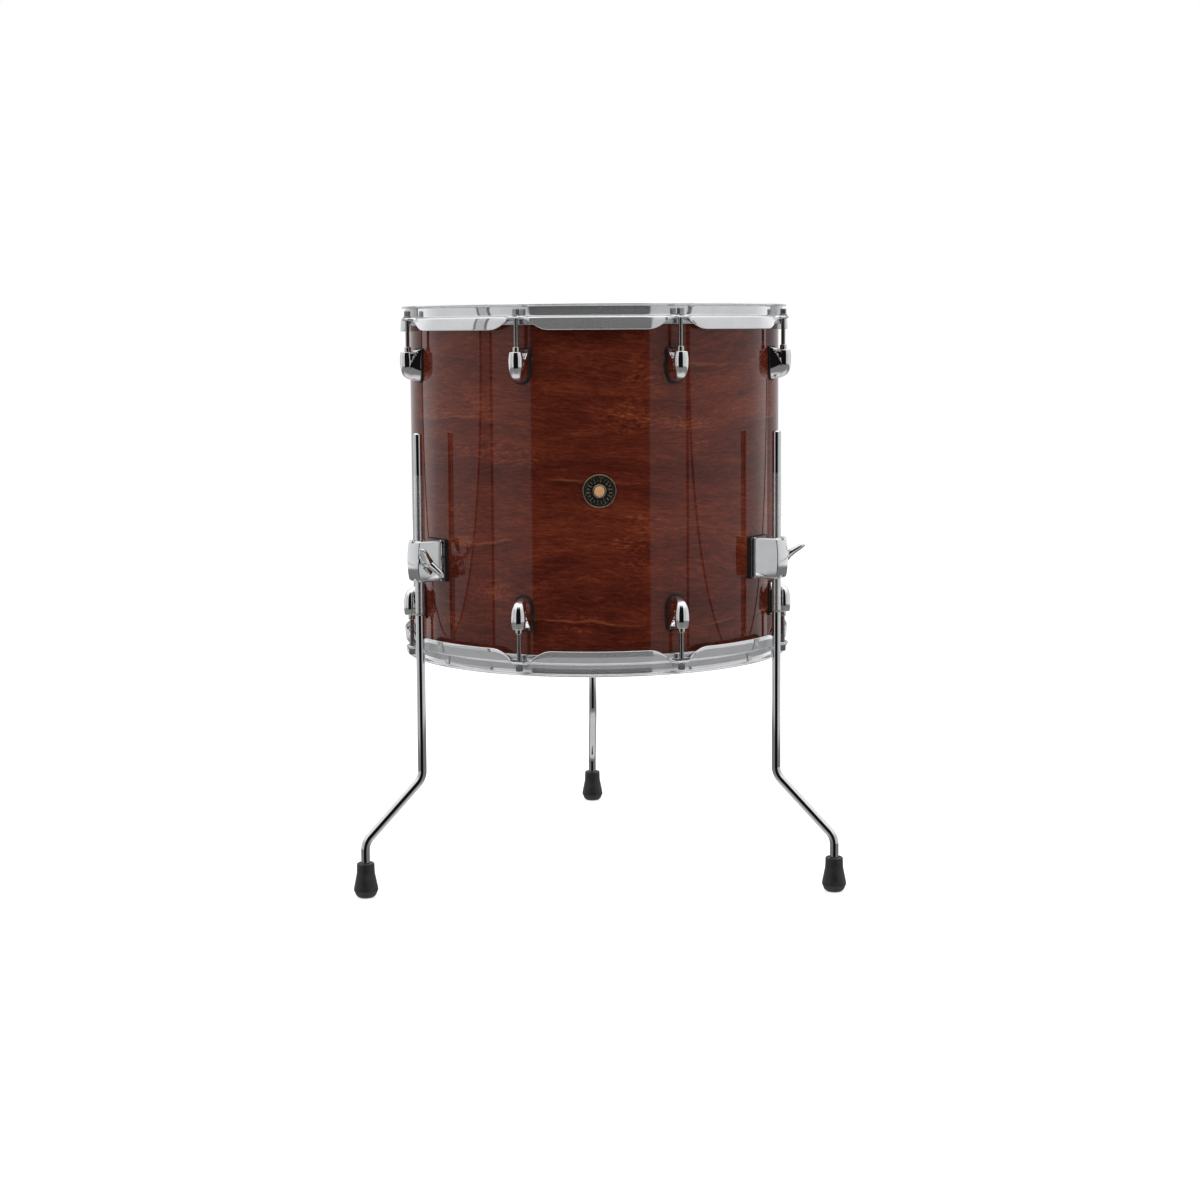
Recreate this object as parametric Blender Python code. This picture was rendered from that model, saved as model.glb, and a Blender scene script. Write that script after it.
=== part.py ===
"""Floor tom: a wooden shell on three adjustable legs, with two heads held by
triple-flanged steel hoops, tension rods and separate lugs.

Units are metres, +Z is up and the feet stand on Z = 0.  The drum's axis is
vertical and lies DRUM_Y behind the origin, so that the origin is the bottom
centre of the whole object's bounding box.  An angle on the drum is counted
from the front (-Y) towards +X.
"""

import math

import bmesh
import bpy
from mathutils import Matrix, Vector

MM = 0.001

# ---------------------------------------------------------------- dimensions
SHELL_R = 203.2 * MM          # 16 inch shell
SHELL_DEPTH = 355.6 * MM      # 14 inches deep
PLY = 7.2 * MM                # thickness of the plywood
SHELL_BOTTOM = 255.3 * MM     # height of the shell's lower edge above the floor
SHELL_TOP = SHELL_BOTTOM + SHELL_DEPTH
SHELL_MID = SHELL_BOTTOM + SHELL_DEPTH / 2
EDGE_R = 201.0 * MM           # radius of the bearing edge's peak
SIDES = 64                    # facets round the shell, heads and flesh hoops

LUGS = 8                      # lugs and tension rods on each head
LUG_FIRST = 22.5              # degrees
ROD_R = 216.7 * MM            # radius of the circle the tension rods stand on
ROD_D = 4.9 * MM
LUG_W, LUG_BASE_W = 13.5 * MM, 19.0 * MM
LUG_NEAR, LUG_FAR = 34.0 * MM, 68.8 * MM     # from the shell's edge, base plate
BARREL_NEAR, BARREL_FAR = 36.9 * MM, 68.3 * MM
LUG_FRONT_R = 225.0 * MM

FLESH_IN, FLESH_OUT = 204.6 * MM, 210.3 * MM
HOOP_IN, HOOP_WALL = 206.2 * MM, 208.0 * MM
HOOP_LIP_R = 211.8 * MM       # turned-out top flange
HOOP_SKIRT_R = 213.4 * MM     # skirt round the flesh hoop
HOOP_EAR_R = 221.5 * MM
HOOP_UP = 11.7 * MM           # how far the hoop stands past the shell's edge
HOOP_DOWN = 15.0 * MM         # how far its skirt reaches back over the shell
HOOP_T = 2.0 * MM

BADGE_R = 17.1 * MM
VENT_R = 5.0 * MM

LEG_ANGLES = (("left", -56.25), ("right", 56.25), ("back", 180.0))
# the front legs are turned in their clamps, which sets their feet further apart
LEG_SWIVEL = {"left": -17.45, "right": 17.45, "back": 0.0}
LEG_R = 226.5 * MM            # radius of the circle the legs stand on
LEG_D = 9.5 * MM
LEG_TOP = 489.5 * MM
LEG_KNEE = 123.1 * MM         # height of the bend where the leg turns outwards
LEG_ANKLE = 58.0 * MM         # height of the bend where it turns down again
LEG_REACH = 62.6 * MM         # from the upright part's axis out to the foot's
LEG_BEND = 20.0 * MM
FOOT_H = 36.5 * MM
FOOT_FLARE = 13.0 * MM

BRACKET_Z = 355.2 * MM
BRACKET_H = 43.5 * MM
BRACKET_W = 38.2 * MM         # flange, along the shell
BOX_W = 23.6 * MM
BOX_DRAFT = 2.4 * MM          # how much wider each side of the box is at its foot
BOX_R = 235.0 * MM
GASKET_R = 203.6 * MM, 205.9 * MM
FLANGE_R = 206.2 * MM, 208.4 * MM
BOLT_R = 227.5 * MM           # the wing bolt's axis passes the drum's at this distance
WING_SPAN = 21.0 * MM         # from the bolt's axis to a wing's tip
# degrees at rest: each was tightened to its own stop
WING_TILT = {"left": 40.0, "right": 53.0, "back": 45.0}

# the feet reach further back than the hoop's skirt reaches forward
DRUM_Y = -((LEG_R + LEG_REACH + FOOT_FLARE) - HOOP_SKIRT_R) / 2


# ------------------------------------------------------------------- helpers
def clear_scene():
    for obj in list(bpy.data.objects):
        bpy.data.objects.remove(obj, do_unlink=True)
    for mesh in list(bpy.data.meshes):
        bpy.data.meshes.remove(mesh)


def material(name, colour, roughness, metallic, coat=0.0):
    mat = bpy.data.materials.new(name)
    mat.use_nodes = True
    shader = mat.node_tree.nodes["Principled BSDF"]
    shader.inputs["Base Color"].default_value = (*colour, 1.0)
    shader.inputs["Roughness"].default_value = roughness
    shader.inputs["Metallic"].default_value = metallic
    shader.inputs["Coat Weight"].default_value = coat
    mat.diffuse_color = (*colour, 1.0)
    return mat


def smooth(mesh):
    mesh.shade_smooth()
    mesh.set_sharp_from_angle(angle=math.radians(32))


def finished(bm, name):
    """The bmesh as a mesh with outward normals."""
    bmesh.ops.remove_doubles(bm, verts=bm.verts, dist=1e-7)
    bmesh.ops.recalc_face_normals(bm, faces=bm.faces)
    mesh = bpy.data.meshes.new(name)
    bm.to_mesh(mesh)
    bm.free()
    return mesh


def turned(name, profile, sides, first=0.0):
    """A solid of revolution about Z.  The profile is a list of (radius, z); it
    closes on itself, or starts and ends on the axis."""
    bm = bmesh.new()
    turn = Matrix.Rotation(first, 3, "Z")
    verts = [bm.verts.new(turn @ Vector((0.0, -r, z))) for r, z in profile]
    edges = [bm.edges.new(pair) for pair in zip(verts, verts[1:])]
    if profile[0][0] > 0:
        edges.append(bm.edges.new((verts[-1], verts[0])))
    bmesh.ops.spin(
        bm,
        geom=verts + edges,
        axis=(0, 0, 1),
        cent=(0, 0, 0),
        angle=2 * math.pi,
        steps=sides,
        use_merge=True,
    )
    return finished(bm, name)


def skin(name, rings, closed):
    """A solid through a row of rings, each a closed outline with the same number
    of points.  An open row is capped at both ends."""
    bm = bmesh.new()
    rows = [[bm.verts.new(p) for p in ring] for ring in rings]
    if closed:
        rows.append(rows[0])
    for near, far in zip(rows, rows[1:]):
        count = len(near)
        for i in range(count):
            j = (i + 1) % count
            bm.faces.new((near[i], near[j], far[j], far[i]))
    if not closed:
        bm.faces.new(rows[0])
        bm.faces.new(rows[-1])
    return finished(bm, name)


def extruded(name, outline, low, high):
    """An outline of (x, y) points, extruded along Z."""
    bm = bmesh.new()
    face = bm.faces.new([bm.verts.new((x, y, low)) for x, y in outline])
    grown = bmesh.ops.extrude_face_region(bm, geom=[face])
    bmesh.ops.translate(
        bm,
        vec=(0, 0, high - low),
        verts=[v for v in grown["geom"] if isinstance(v, bmesh.types.BMVert)],
    )
    return finished(bm, name)


def polygon(radius, sides, first=0.5):
    step = 2 * math.pi / sides
    return [
        (radius * math.sin((i + first) * step), radius * math.cos((i + first) * step))
        for i in range(sides)
    ]


def stock(mesh, matrix=None):
    """A helper object for a Boolean; it never becomes a part of its own."""
    obj = bpy.data.objects.new(mesh.name, mesh)
    bpy.context.scene.collection.objects.link(obj)
    obj.hide_render = True
    obj.display_type = "WIRE"
    if matrix is not None:
        obj.matrix_world = matrix
    return obj


def carved(name, body, unions=(), cuts=()):
    """body joined with each of unions, and then with each of cuts taken away."""
    base = stock(body)
    for mode, tools in (("UNION", unions), ("DIFFERENCE", cuts)):
        for tool in tools:
            boolean = base.modifiers.new(mode.lower(), "BOOLEAN")
            boolean.operation = mode
            boolean.solver = "EXACT"
            boolean.object = tool
    bpy.context.view_layer.update()
    graph = bpy.context.evaluated_depsgraph_get()
    mesh = bpy.data.meshes.new_from_object(base.evaluated_get(graph))
    mesh.name = name
    for obj in (base, *unions, *cuts):
        bpy.data.objects.remove(obj, do_unlink=True)
    return mesh


def add(name, mesh, mat, parent=None, location=(0, 0, 0), rotation=(0, 0, 0)):
    obj = bpy.data.objects.new(name, mesh)
    bpy.context.scene.collection.objects.link(obj)
    obj.parent = parent
    obj.location = location
    obj.rotation_euler = rotation
    if not mesh.materials:
        mesh.materials.append(mat)
        smooth(mesh)
    return obj


def pivot(name, location, rotation=(0, 0, 0), parent=None):
    empty = bpy.data.objects.new(name, None)
    bpy.context.scene.collection.objects.link(empty)
    empty.parent = parent
    empty.location = location
    empty.rotation_euler = rotation
    empty.empty_display_size = 0.03
    return empty


def on_circle(radius, degrees, z):
    a = math.radians(degrees)
    return (radius * math.sin(a), -radius * math.cos(a), z)


# --------------------------------------------------------------------- pieces
def shell_mesh():
    """The plywood cylinder, with a bearing edge cut on each rim and a vent."""
    inner = SHELL_R - PLY
    fall_out, fall_in = 2.6 * MM, EDGE_R - inner
    half = SHELL_DEPTH / 2
    upper = [(SHELL_R, half - fall_out), (EDGE_R, half), (inner, half - fall_in)]
    lower = [(r, -z) for r, z in reversed(upper)]
    tube = turned("shell_tube", upper + lower, SIDES)
    vent = stock(
        extruded("vent_cut", polygon(VENT_R + 1.1 * MM, 16), -20 * MM, 20 * MM),
        Matrix.Translation((0, -SHELL_R, 0)) @ Matrix.Rotation(math.pi / 2, 4, "X"),
    )
    return carved("shell", tube, cuts=[vent])


def head_mesh():
    """The film, flat over the bearing edge, with a collar that runs down outside
    the shell into the flesh hoop.  Z is counted from the shell's edge."""
    profile = [
        (0.0, 0.8 * MM),
        (201.4 * MM, 0.8 * MM),
        (204.2 * MM, -1.3 * MM),
        (204.2 * MM, -9.0 * MM),
        (203.5 * MM, -9.0 * MM),
        (203.5 * MM, -1.7 * MM),
        (201.2 * MM, 0.3 * MM),
        (0.0, 0.3 * MM),
    ]
    return turned("head", profile, SIDES)


def flesh_hoop_mesh():
    profile = [
        (FLESH_IN, -3.5 * MM),
        (FLESH_OUT, -3.5 * MM),
        (FLESH_OUT, -9.6 * MM),
        (FLESH_IN, -9.6 * MM),
    ]
    return turned("flesh_hoop", profile, SIDES)


def skirt_depth(off_rod):
    """How far the skirt hangs past the shell's edge, by the angle from a rod."""
    rise = (
        (1.8, 3.4 * MM),
        (3.7, 7.5 * MM),
        (6.0, 12.4 * MM),
        (8.6, HOOP_DOWN),
    )
    if off_rod <= rise[0][0]:
        return rise[0][1]
    for (a, low), (b, high) in zip(rise, rise[1:]):
        if off_rod <= b:
            return low + (high - low) * (off_rod - a) / (b - a)
    return HOOP_DOWN


def hoop_mesh():
    """The triple-flanged hoop: lip, wall, ledge and scalloped skirt, with an ear
    and a hole at each tension rod.  Z is counted from the shell's edge."""
    top, ledge = HOOP_UP, -1.2 * MM
    steps = (-22.5, -15.4, -8.6, -3.7, -1.8, 1.8, 3.7, 8.6, 15.4)
    rings = []
    for k in range(LUGS):
        for step in steps:
            ear = abs(step) <= 1.8
            bottom = -skirt_depth(abs(step))
            reach = HOOP_EAR_R if ear else HOOP_SKIRT_R
            profile = (
                (HOOP_IN, top),
                (HOOP_LIP_R, top),
                (HOOP_LIP_R, top - HOOP_T),
                (HOOP_WALL, top - HOOP_T),
                (HOOP_WALL, ledge),
                (reach, ledge),
                (reach, bottom),
                (HOOP_SKIRT_R - HOOP_T, bottom),
                (HOOP_SKIRT_R - HOOP_T, ledge - HOOP_T),
                (HOOP_IN, ledge - HOOP_T),
            )
            angle = LUG_FIRST + k * 360 / LUGS + step
            rings.append([on_circle(r, angle, z) for r, z in profile])
    body = skin("hoop_ring", rings, closed=True)
    holes = []
    for k in range(LUGS):
        angle = LUG_FIRST + k * 360 / LUGS
        place = Matrix.Translation(on_circle(ROD_R, angle, -2.3 * MM))
        hole = extruded("ear_hole", polygon(3.0 * MM, 8), -4 * MM, 4 * MM)
        holes.append(stock(hole, place @ Matrix.Rotation(math.radians(angle), 4, "Z")))
    return carved("hoop", body, cuts=holes)


def lug_mesh():
    """The lug about its rod's axis, with the outward direction along -Y and the
    rod coming in from above.  Z is counted from the shell's edge."""
    inner = -(SHELL_R + 0.4 * MM - ROD_R)
    w, far, near, round_ = LUG_BASE_W / 2, -LUG_FAR, -LUG_NEAR, 3.0 * MM
    plate = extruded(
        "lug_plate",
        [
            (-w, far + round_),
            (-w + round_, far),
            (w - round_, far),
            (w, far + round_),
            (w, near - round_),
            (w - round_, near),
            (-w + round_, near),
            (-w, near - round_),
        ],
        0.0,
        2.4 * MM,
    )
    front, back = -(LUG_FRONT_R - ROD_R), inner - 1.0 * MM
    x = LUG_W / 2
    outline = [
        (x, back),
        (x, front + 4.5 * MM),
        (x - 3.2 * MM, front + 0.8 * MM),
        (0.0, front),
        (-x + 3.2 * MM, front + 0.8 * MM),
        (-x, front + 4.5 * MM),
        (-x, back),
    ]
    rings = []
    for z, shrink in (
        (-BARREL_NEAR, 0.0),
        (-BARREL_FAR + 6.0 * MM, 0.0),
        (-BARREL_FAR + 1.4 * MM, 3.0 * MM),
        (-BARREL_FAR, 6.5 * MM),
    ):
        ring = []
        for px, py in outline:
            qy = min(py + shrink, back) if py < back else py
            qx = math.copysign(max(abs(px) - 0.45 * shrink, 0.0), px)
            ring.append((qx, qy, z))
        rings.append(ring)
    barrel = stock(skin("lug_barrel", rings, closed=False))
    # the plate is drawn flat, then stood against the shell
    stand = Matrix.Translation((0, inner, 0)) @ Matrix.Rotation(math.pi / 2, 4, "X")
    plate.transform(stand)
    bore = stock(
        extruded("lug_bore", polygon(2.95 * MM, 8), -61 * MM, -30 * MM)
    )
    return carved("lug", plate, unions=[barrel], cuts=[bore])


def rod_mesh():
    """The tension rod about its own axis, with its square head on top and Z
    counted from the shell's edge."""
    sides = 8
    square = []
    for i in range(sides):
        x, y = polygon(1.0, sides, first=0.0)[i]
        reach = 2.9 * MM / max(abs(x), abs(y))
        square.append((x * reach, y * reach))

    def ring(radius, z):
        return [(x, y, z) for x, y in polygon(radius, sides, first=0.0)]

    rings = [
        ring(1.7 * MM, -58.0 * MM),
        ring(ROD_D / 2, -56.8 * MM),
        ring(ROD_D / 2, -0.9 * MM),
        ring(4.1 * MM, -0.9 * MM),
        ring(4.1 * MM, 0.3 * MM),
        [(x, y, 0.3 * MM) for x, y in square],
        [(x, y, 6.6 * MM) for x, y in square],
    ]
    return skin("tension_rod", rings, closed=False)


def filleted(corners, radius, steps):
    """The points of a path through corners, each bend rounded to the radius."""
    path = [Vector(corners[0])]
    for before, at, after in zip(corners, corners[1:], corners[2:]):
        before, at, after = Vector(before), Vector(at), Vector(after)
        into, out = (at - before).normalized(), (after - at).normalized()
        turn = into.angle(out)
        length = radius * math.tan(turn / 2)
        inwards = (out - into).normalized()
        centre = at + inwards * radius / math.cos(turn / 2)
        axis = into.cross(out).normalized()
        start = at - into * length - centre
        for i in range(steps + 1):
            path.append(centre + Matrix.Rotation(turn * i / steps, 3, axis) @ start)
    path.append(Vector(corners[-1]))
    return path


def leg_mesh():
    """The leg rod about the axis of its upright part; it leans out along -Y."""
    out = LEG_REACH
    path = filleted(
        [(0, 0, LEG_TOP), (0, 0, LEG_KNEE), (0, -out, LEG_ANKLE), (0, -out, 8.0 * MM)],
        LEG_BEND,
        4,
    )
    bm_rings = []
    side = Vector((1, 0, 0))
    for i, point in enumerate(path):
        ahead = path[min(i + 1, len(path) - 1)] - path[max(i - 1, 0)]
        up = ahead.normalized().cross(side)
        radius = LEG_D / 2
        bm_rings.append(
            [point + side * x + up * y for x, y in polygon(radius, 12)]
        )
    # a small chamfer on the rod's top end
    first = [path[0] + (p - path[0]) * 0.78 for p in bm_rings[0]]
    bm_rings[0] = [p - Vector((0, 0, 1.0 * MM)) for p in bm_rings[0]]
    return skin("leg", [first] + bm_rings, closed=False)


def foot_mesh():
    """The rubber foot about the rod's lower end, with a blind socket for it."""
    rod = LEG_D / 2 + 0.3 * MM
    profile = [
        (0.0, 0.0),
        (8.0 * MM, 0.0),
        (FOOT_FLARE, 6.5 * MM),
        (FOOT_FLARE, 10.5 * MM),
        (9.3 * MM, 26.5 * MM),
        (9.3 * MM, FOOT_H),
        (rod, FOOT_H),
        (rod, 7.5 * MM),
        (0.0, 7.5 * MM),
    ]
    return turned("foot", profile, 16)


def curved_plate(name, radii, width, height):
    """A plate that hugs the shell, about the drum's axis and facing -Y."""
    inner, outer = radii
    steps, half = 6, math.degrees(width / 2 / outer)
    rings = []
    for i in range(steps + 1):
        angle = -half + 2 * half * i / steps
        edge = 3.2 * MM if i in (0, steps) else 0.0
        h = height / 2 - edge
        rings.append(
            [
                on_circle(inner, angle, -h),
                on_circle(outer, angle, -h),
                on_circle(outer, angle, h),
                on_circle(inner, angle, h),
            ]
        )
    return skin(name, rings, closed=False)


def bracket_mesh():
    """The leg bracket about the leg's axis: a flange that hugs the shell, a box
    bored for the leg, and a boss for the wing bolt on its +X side."""
    flange = curved_plate("bracket_flange", FLANGE_R, BRACKET_W, BRACKET_H)
    flange.transform(Matrix.Translation((0, LEG_R, 0)))
    half, back, front = BOX_W / 2, LEG_R - 207.5 * MM, LEG_R - BOX_R
    rings = []
    for z, bow in (
        (-BRACKET_H / 2, 2.3 * MM),
        (-BRACKET_H / 2 + 7 * MM, 0.9 * MM),
        (0.0, 0.0),
        (BRACKET_H / 2 - 7 * MM, 0.9 * MM),
        (BRACKET_H / 2, 2.3 * MM),
    ):
        # the front is bowed in elevation, and keeps its wall past the bore
        y = front + bow
        rings.append(
            [
                (-half - BOX_DRAFT, back, z),
                (-half, y + 4.0 * MM, z),
                (-half + 4.0 * MM, y, z),
                (half - 4.0 * MM, y, z),
                (half, y + 4.0 * MM, z),
                (half + BOX_DRAFT, back, z),
            ]
        )
    box = stock(skin("bracket_box", rings, closed=False))
    sideways = Matrix.Translation((0, LEG_R - BOLT_R, 0)) @ Matrix.Rotation(
        math.pi / 2, 4, "Y"
    )
    boss = stock(
        extruded("bracket_boss", polygon(5.6 * MM, 12), half - 3 * MM, 14.4 * MM),
        sideways,
    )
    leg_bore = stock(extruded("leg_bore", polygon(5.15 * MM, 12), -40 * MM, 40 * MM))
    bolt_bore = stock(
        extruded("bolt_bore", polygon(3.4 * MM, 8), 1.0 * MM, 40 * MM), sideways
    )
    return carved("bracket", flange, unions=[box, boss], cuts=[leg_bore, bolt_bore])


def wing_bolt_mesh():
    """The wing bolt about its own axis, which is local X, with its point at the
    leg and its wings spread along local Z."""
    point = LEG_D / 2 + 0.4 * MM
    along = Matrix.Rotation(math.pi / 2, 4, "Y")
    shaft = extruded("bolt_shaft", polygon(3.0 * MM, 8), point, 21 * MM)
    shaft.transform(along)
    hub = stock(extruded("bolt_hub", polygon(5.6 * MM, 10), 14.8 * MM, 24.6 * MM), along)
    # each wing: (distance from the bolt's axis, place along it)
    tip = WING_SPAN / MM
    half = (
        (4.5, 16.0),
        (7.5, 17.2),
        (12.5, 21.0),
        (17.5, 25.6),
        (tip, 28.8),
        (tip - 0.7, 32.0),
        (tip - 5.3, 33.2),
        (5.5, 28.8),
    )
    outline = [(t * MM, s * MM) for s, t in half]
    outline += [(t * MM, -s * MM) for s, t in reversed(half)]
    wings = extruded("bolt_wings", outline, -3.0 * MM, 3.0 * MM)
    # drawn flat in local X and Y; stood up so that the wings spread along Z
    wings.transform(Matrix.Rotation(math.pi / 2, 4, "X"))
    return carved("wing_bolt", shaft, unions=[hub, stock(wings)])


def main():
    clear_scene()
    bpy.context.scene.unit_settings.system = "METRIC"

    lacquer = material("lacquered_walnut", (0.115, 0.028, 0.016), 0.12, 0.0, 1.0)
    chrome = material("chrome", (0.80, 0.81, 0.83), 0.06, 1.0)
    alloy = material("satin_aluminium", (0.72, 0.73, 0.75), 0.30, 1.0)
    coated = material("coated_film", (0.90, 0.90, 0.88), 0.65, 0.0)
    clear_film = material("clear_film", (0.82, 0.84, 0.86), 0.15, 0.0)
    rubber = material("black_rubber", (0.015, 0.015, 0.016), 0.60, 0.0)
    enamel = material("black_enamel", (0.012, 0.012, 0.013), 0.20, 0.0, 0.5)
    brass = material("brass", (0.78, 0.60, 0.30), 0.22, 1.0)

    axis = pivot("drum_axis", (0, DRUM_Y, 0))

    # shell, badge and vent
    add("shell", shell_mesh(), lacquer, axis, (0, 0, SHELL_MID))
    face = Matrix.Rotation(math.pi / 2, 4, "X")
    badge = turned(
        "badge",
        [
            (VENT_R + 1.0 * MM, 0.0),
            (BADGE_R, 0.0),
            (BADGE_R, 0.9 * MM),
            (VENT_R + 1.0 * MM, 0.9 * MM),
        ],
        24,
    )
    badge.transform(face)
    add("badge", badge, enamel, axis, (0, -SHELL_R - 0.35 * MM, SHELL_MID))
    grommet = turned(
        "vent_grommet",
        [
            (VENT_R, 1.5 * MM),
            (6.9 * MM, 1.5 * MM),
            (6.9 * MM, 0.3 * MM),
            (5.6 * MM, 0.3 * MM),
            (5.6 * MM, -11.0 * MM),
            (VENT_R, -11.0 * MM),
        ],
        16,
    )
    grommet.transform(face)
    add(
        "vent_grommet",
        grommet,
        brass,
        axis,
        (0, -SHELL_R - 1.25 * MM, SHELL_MID),
    )

    # heads and hoops; the lower ones are the upper ones turned over
    head, flesh, hoop = head_mesh(), flesh_hoop_mesh(), hoop_mesh()
    head_low, hoop_low = head.copy(), hoop.copy()
    over = (0, math.pi, 0)
    add("batter_head", head, coated, axis, (0, 0, SHELL_TOP))
    add("resonant_head", head_low, clear_film, axis, (0, 0, SHELL_BOTTOM), over)
    add("batter_flesh_hoop", flesh, alloy, axis, (0, 0, SHELL_TOP))
    add("resonant_flesh_hoop", flesh, alloy, axis, (0, 0, SHELL_BOTTOM), over)
    upper = add("batter_hoop", hoop, chrome, axis, (0, 0, SHELL_TOP))
    lower = add("resonant_hoop", hoop_low, chrome, axis, (0, 0, SHELL_BOTTOM), over)

    # lugs on the shell, tension rods on the hoops
    lug, rod = lug_mesh(), rod_mesh()
    for k in range(LUGS):
        degrees = LUG_FIRST + k * 360 / LUGS
        a = math.radians(degrees)
        number = k + 1
        top, bottom = on_circle(ROD_R, degrees, SHELL_TOP), on_circle(
            ROD_R, degrees, SHELL_BOTTOM
        )
        add(f"batter_lug_{number}", lug, chrome, axis, top, (0, 0, a))
        add(f"resonant_lug_{number}", lug, chrome, axis, bottom, (0, math.pi, a))
        local = on_circle(ROD_R, degrees, 0)
        add(f"batter_tension_rod_{number}", rod, chrome, upper, local, (0, 0, a))
        # under the turned-over hoop the same place is mirrored in X
        mirrored = (-local[0], local[1], 0)
        add(f"resonant_tension_rod_{number}", rod, chrome, lower, mirrored, (0, 0, -a))

    # legs, feet, brackets, gaskets and wing bolts
    gasket = curved_plate(
        "bracket_gasket", GASKET_R, BRACKET_W + 0.8 * MM, BRACKET_H + 1.2 * MM
    )
    bracket, bolt, leg, foot = bracket_mesh(), wing_bolt_mesh(), leg_mesh(), foot_mesh()
    for side, degrees in LEG_ANGLES:
        a = math.radians(degrees)
        add(f"leg_gasket_{side}", gasket, rubber, axis, (0, 0, BRACKET_Z), (0, 0, a))
        at_bracket = on_circle(LEG_R, degrees, BRACKET_Z)
        add(f"leg_bracket_{side}", bracket, chrome, axis, at_bracket, (0, 0, a))
        at_bolt = on_circle(BOLT_R, degrees, BRACKET_Z)
        turn = pivot(f"wing_axis_{side}", at_bolt, (0, 0, a), axis)
        add(
            f"wing_bolt_{side}",
            bolt,
            chrome,
            turn,
            (0, 0, 0),
            (math.radians(WING_TILT[side]), 0, 0),
        )
        turned_leg = math.radians(degrees + LEG_SWIVEL[side])
        slide = pivot(
            f"leg_axis_{side}", on_circle(LEG_R, degrees, 0), (0, 0, turned_leg), axis
        )
        add(f"leg_{side}", leg, chrome, slide)
        add(f"foot_{side}", foot, rubber, slide, (0, -LEG_REACH, 0))


main()
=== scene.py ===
"""Looks of the floor tom: detailed meshes and procedural materials built around
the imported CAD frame, with the camera, floor and studio light.

Every position comes from the frame.  A piece is drawn in a frame of its own,
with its outward direction along -Y, and its points are then put in place, so
that each object sits at the origin as a CAD node does.
"""

import math

import bmesh
import bpy
from mathutils import Matrix, Vector


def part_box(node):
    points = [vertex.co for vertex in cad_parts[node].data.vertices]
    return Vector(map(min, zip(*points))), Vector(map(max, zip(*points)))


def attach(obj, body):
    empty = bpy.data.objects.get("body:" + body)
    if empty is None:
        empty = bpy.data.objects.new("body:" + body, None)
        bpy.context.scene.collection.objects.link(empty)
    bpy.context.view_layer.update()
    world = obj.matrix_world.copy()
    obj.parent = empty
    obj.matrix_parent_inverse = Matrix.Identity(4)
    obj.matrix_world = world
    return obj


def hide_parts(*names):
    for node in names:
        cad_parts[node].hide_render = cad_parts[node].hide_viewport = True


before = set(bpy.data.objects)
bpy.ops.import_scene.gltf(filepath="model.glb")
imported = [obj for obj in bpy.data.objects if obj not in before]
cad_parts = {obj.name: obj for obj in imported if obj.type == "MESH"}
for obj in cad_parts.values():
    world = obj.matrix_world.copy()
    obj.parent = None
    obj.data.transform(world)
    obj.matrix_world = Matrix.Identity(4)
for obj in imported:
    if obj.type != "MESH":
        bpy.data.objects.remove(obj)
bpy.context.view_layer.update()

MM = 0.001
PI = math.pi

# ------------------------------------------------------------ from the frame
_lo, _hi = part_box("shell")
AX, AY = (_lo[0] + _hi[0]) / 2, (_lo[1] + _hi[1]) / 2
R = (_hi[0] - _lo[0]) / 2
TOP, BOTTOM = _hi[2], _lo[2]
MID = (TOP + BOTTOM) / 2
_lo, _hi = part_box("batter_hoop")
HOOP_UP = _hi[2] - TOP                        # lip above the shell's edge
HOOP_DOWN = TOP - _lo[2]                      # skirt below it
_lo, _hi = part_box("leg_back")
LEG_TOP = _hi[2]
LEG_D = _hi[0] - _lo[0]
_lo, _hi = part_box("foot_back")
FOOT_H = _hi[2]
FOOT_FLARE = (_hi[0] - _lo[0]) / 2
FOOT_R = (_hi[1] + _lo[1]) / 2 - AY
_lo, _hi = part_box("leg_bracket_back")
BRACKET_Z = (_lo[2] + _hi[2]) / 2
BRACKET_H = _hi[2] - _lo[2]
_lo, _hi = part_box("batter_tension_rod_1")
ROD_R = math.hypot((_lo[0] + _hi[0]) / 2 - AX, (_lo[1] + _hi[1]) / 2 - AY)

LUGS = 8
FIRST = 22.5
PLY = 7.2 * MM
LEG_R = 226.5 * MM
LEG_REACH = FOOT_R - LEG_R
LEG_KNEE, LEG_ANKLE, LEG_BEND = 123.1 * MM, 58.0 * MM, 20.0 * MM
KNURL = 298.0 * MM, 445.0 * MM
BOLT_R = 227.5 * MM
LEGS = (("left", -56.25), ("right", 56.25), ("back", 180.0))
SWIVEL = {"left": -17.45, "right": 17.45, "back": 0.0}
TILT = {"left": 40.0, "right": 53.0, "back": 45.0}


# ------------------------------------------------------------- mesh helpers
def lerp(a, b, t):
    return a + (b - a) * t


def smoothstep(a, b, x):
    t = min(max((x - a) / (b - a), 0.0), 1.0)
    return t * t * (3 - 2 * t)


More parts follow.
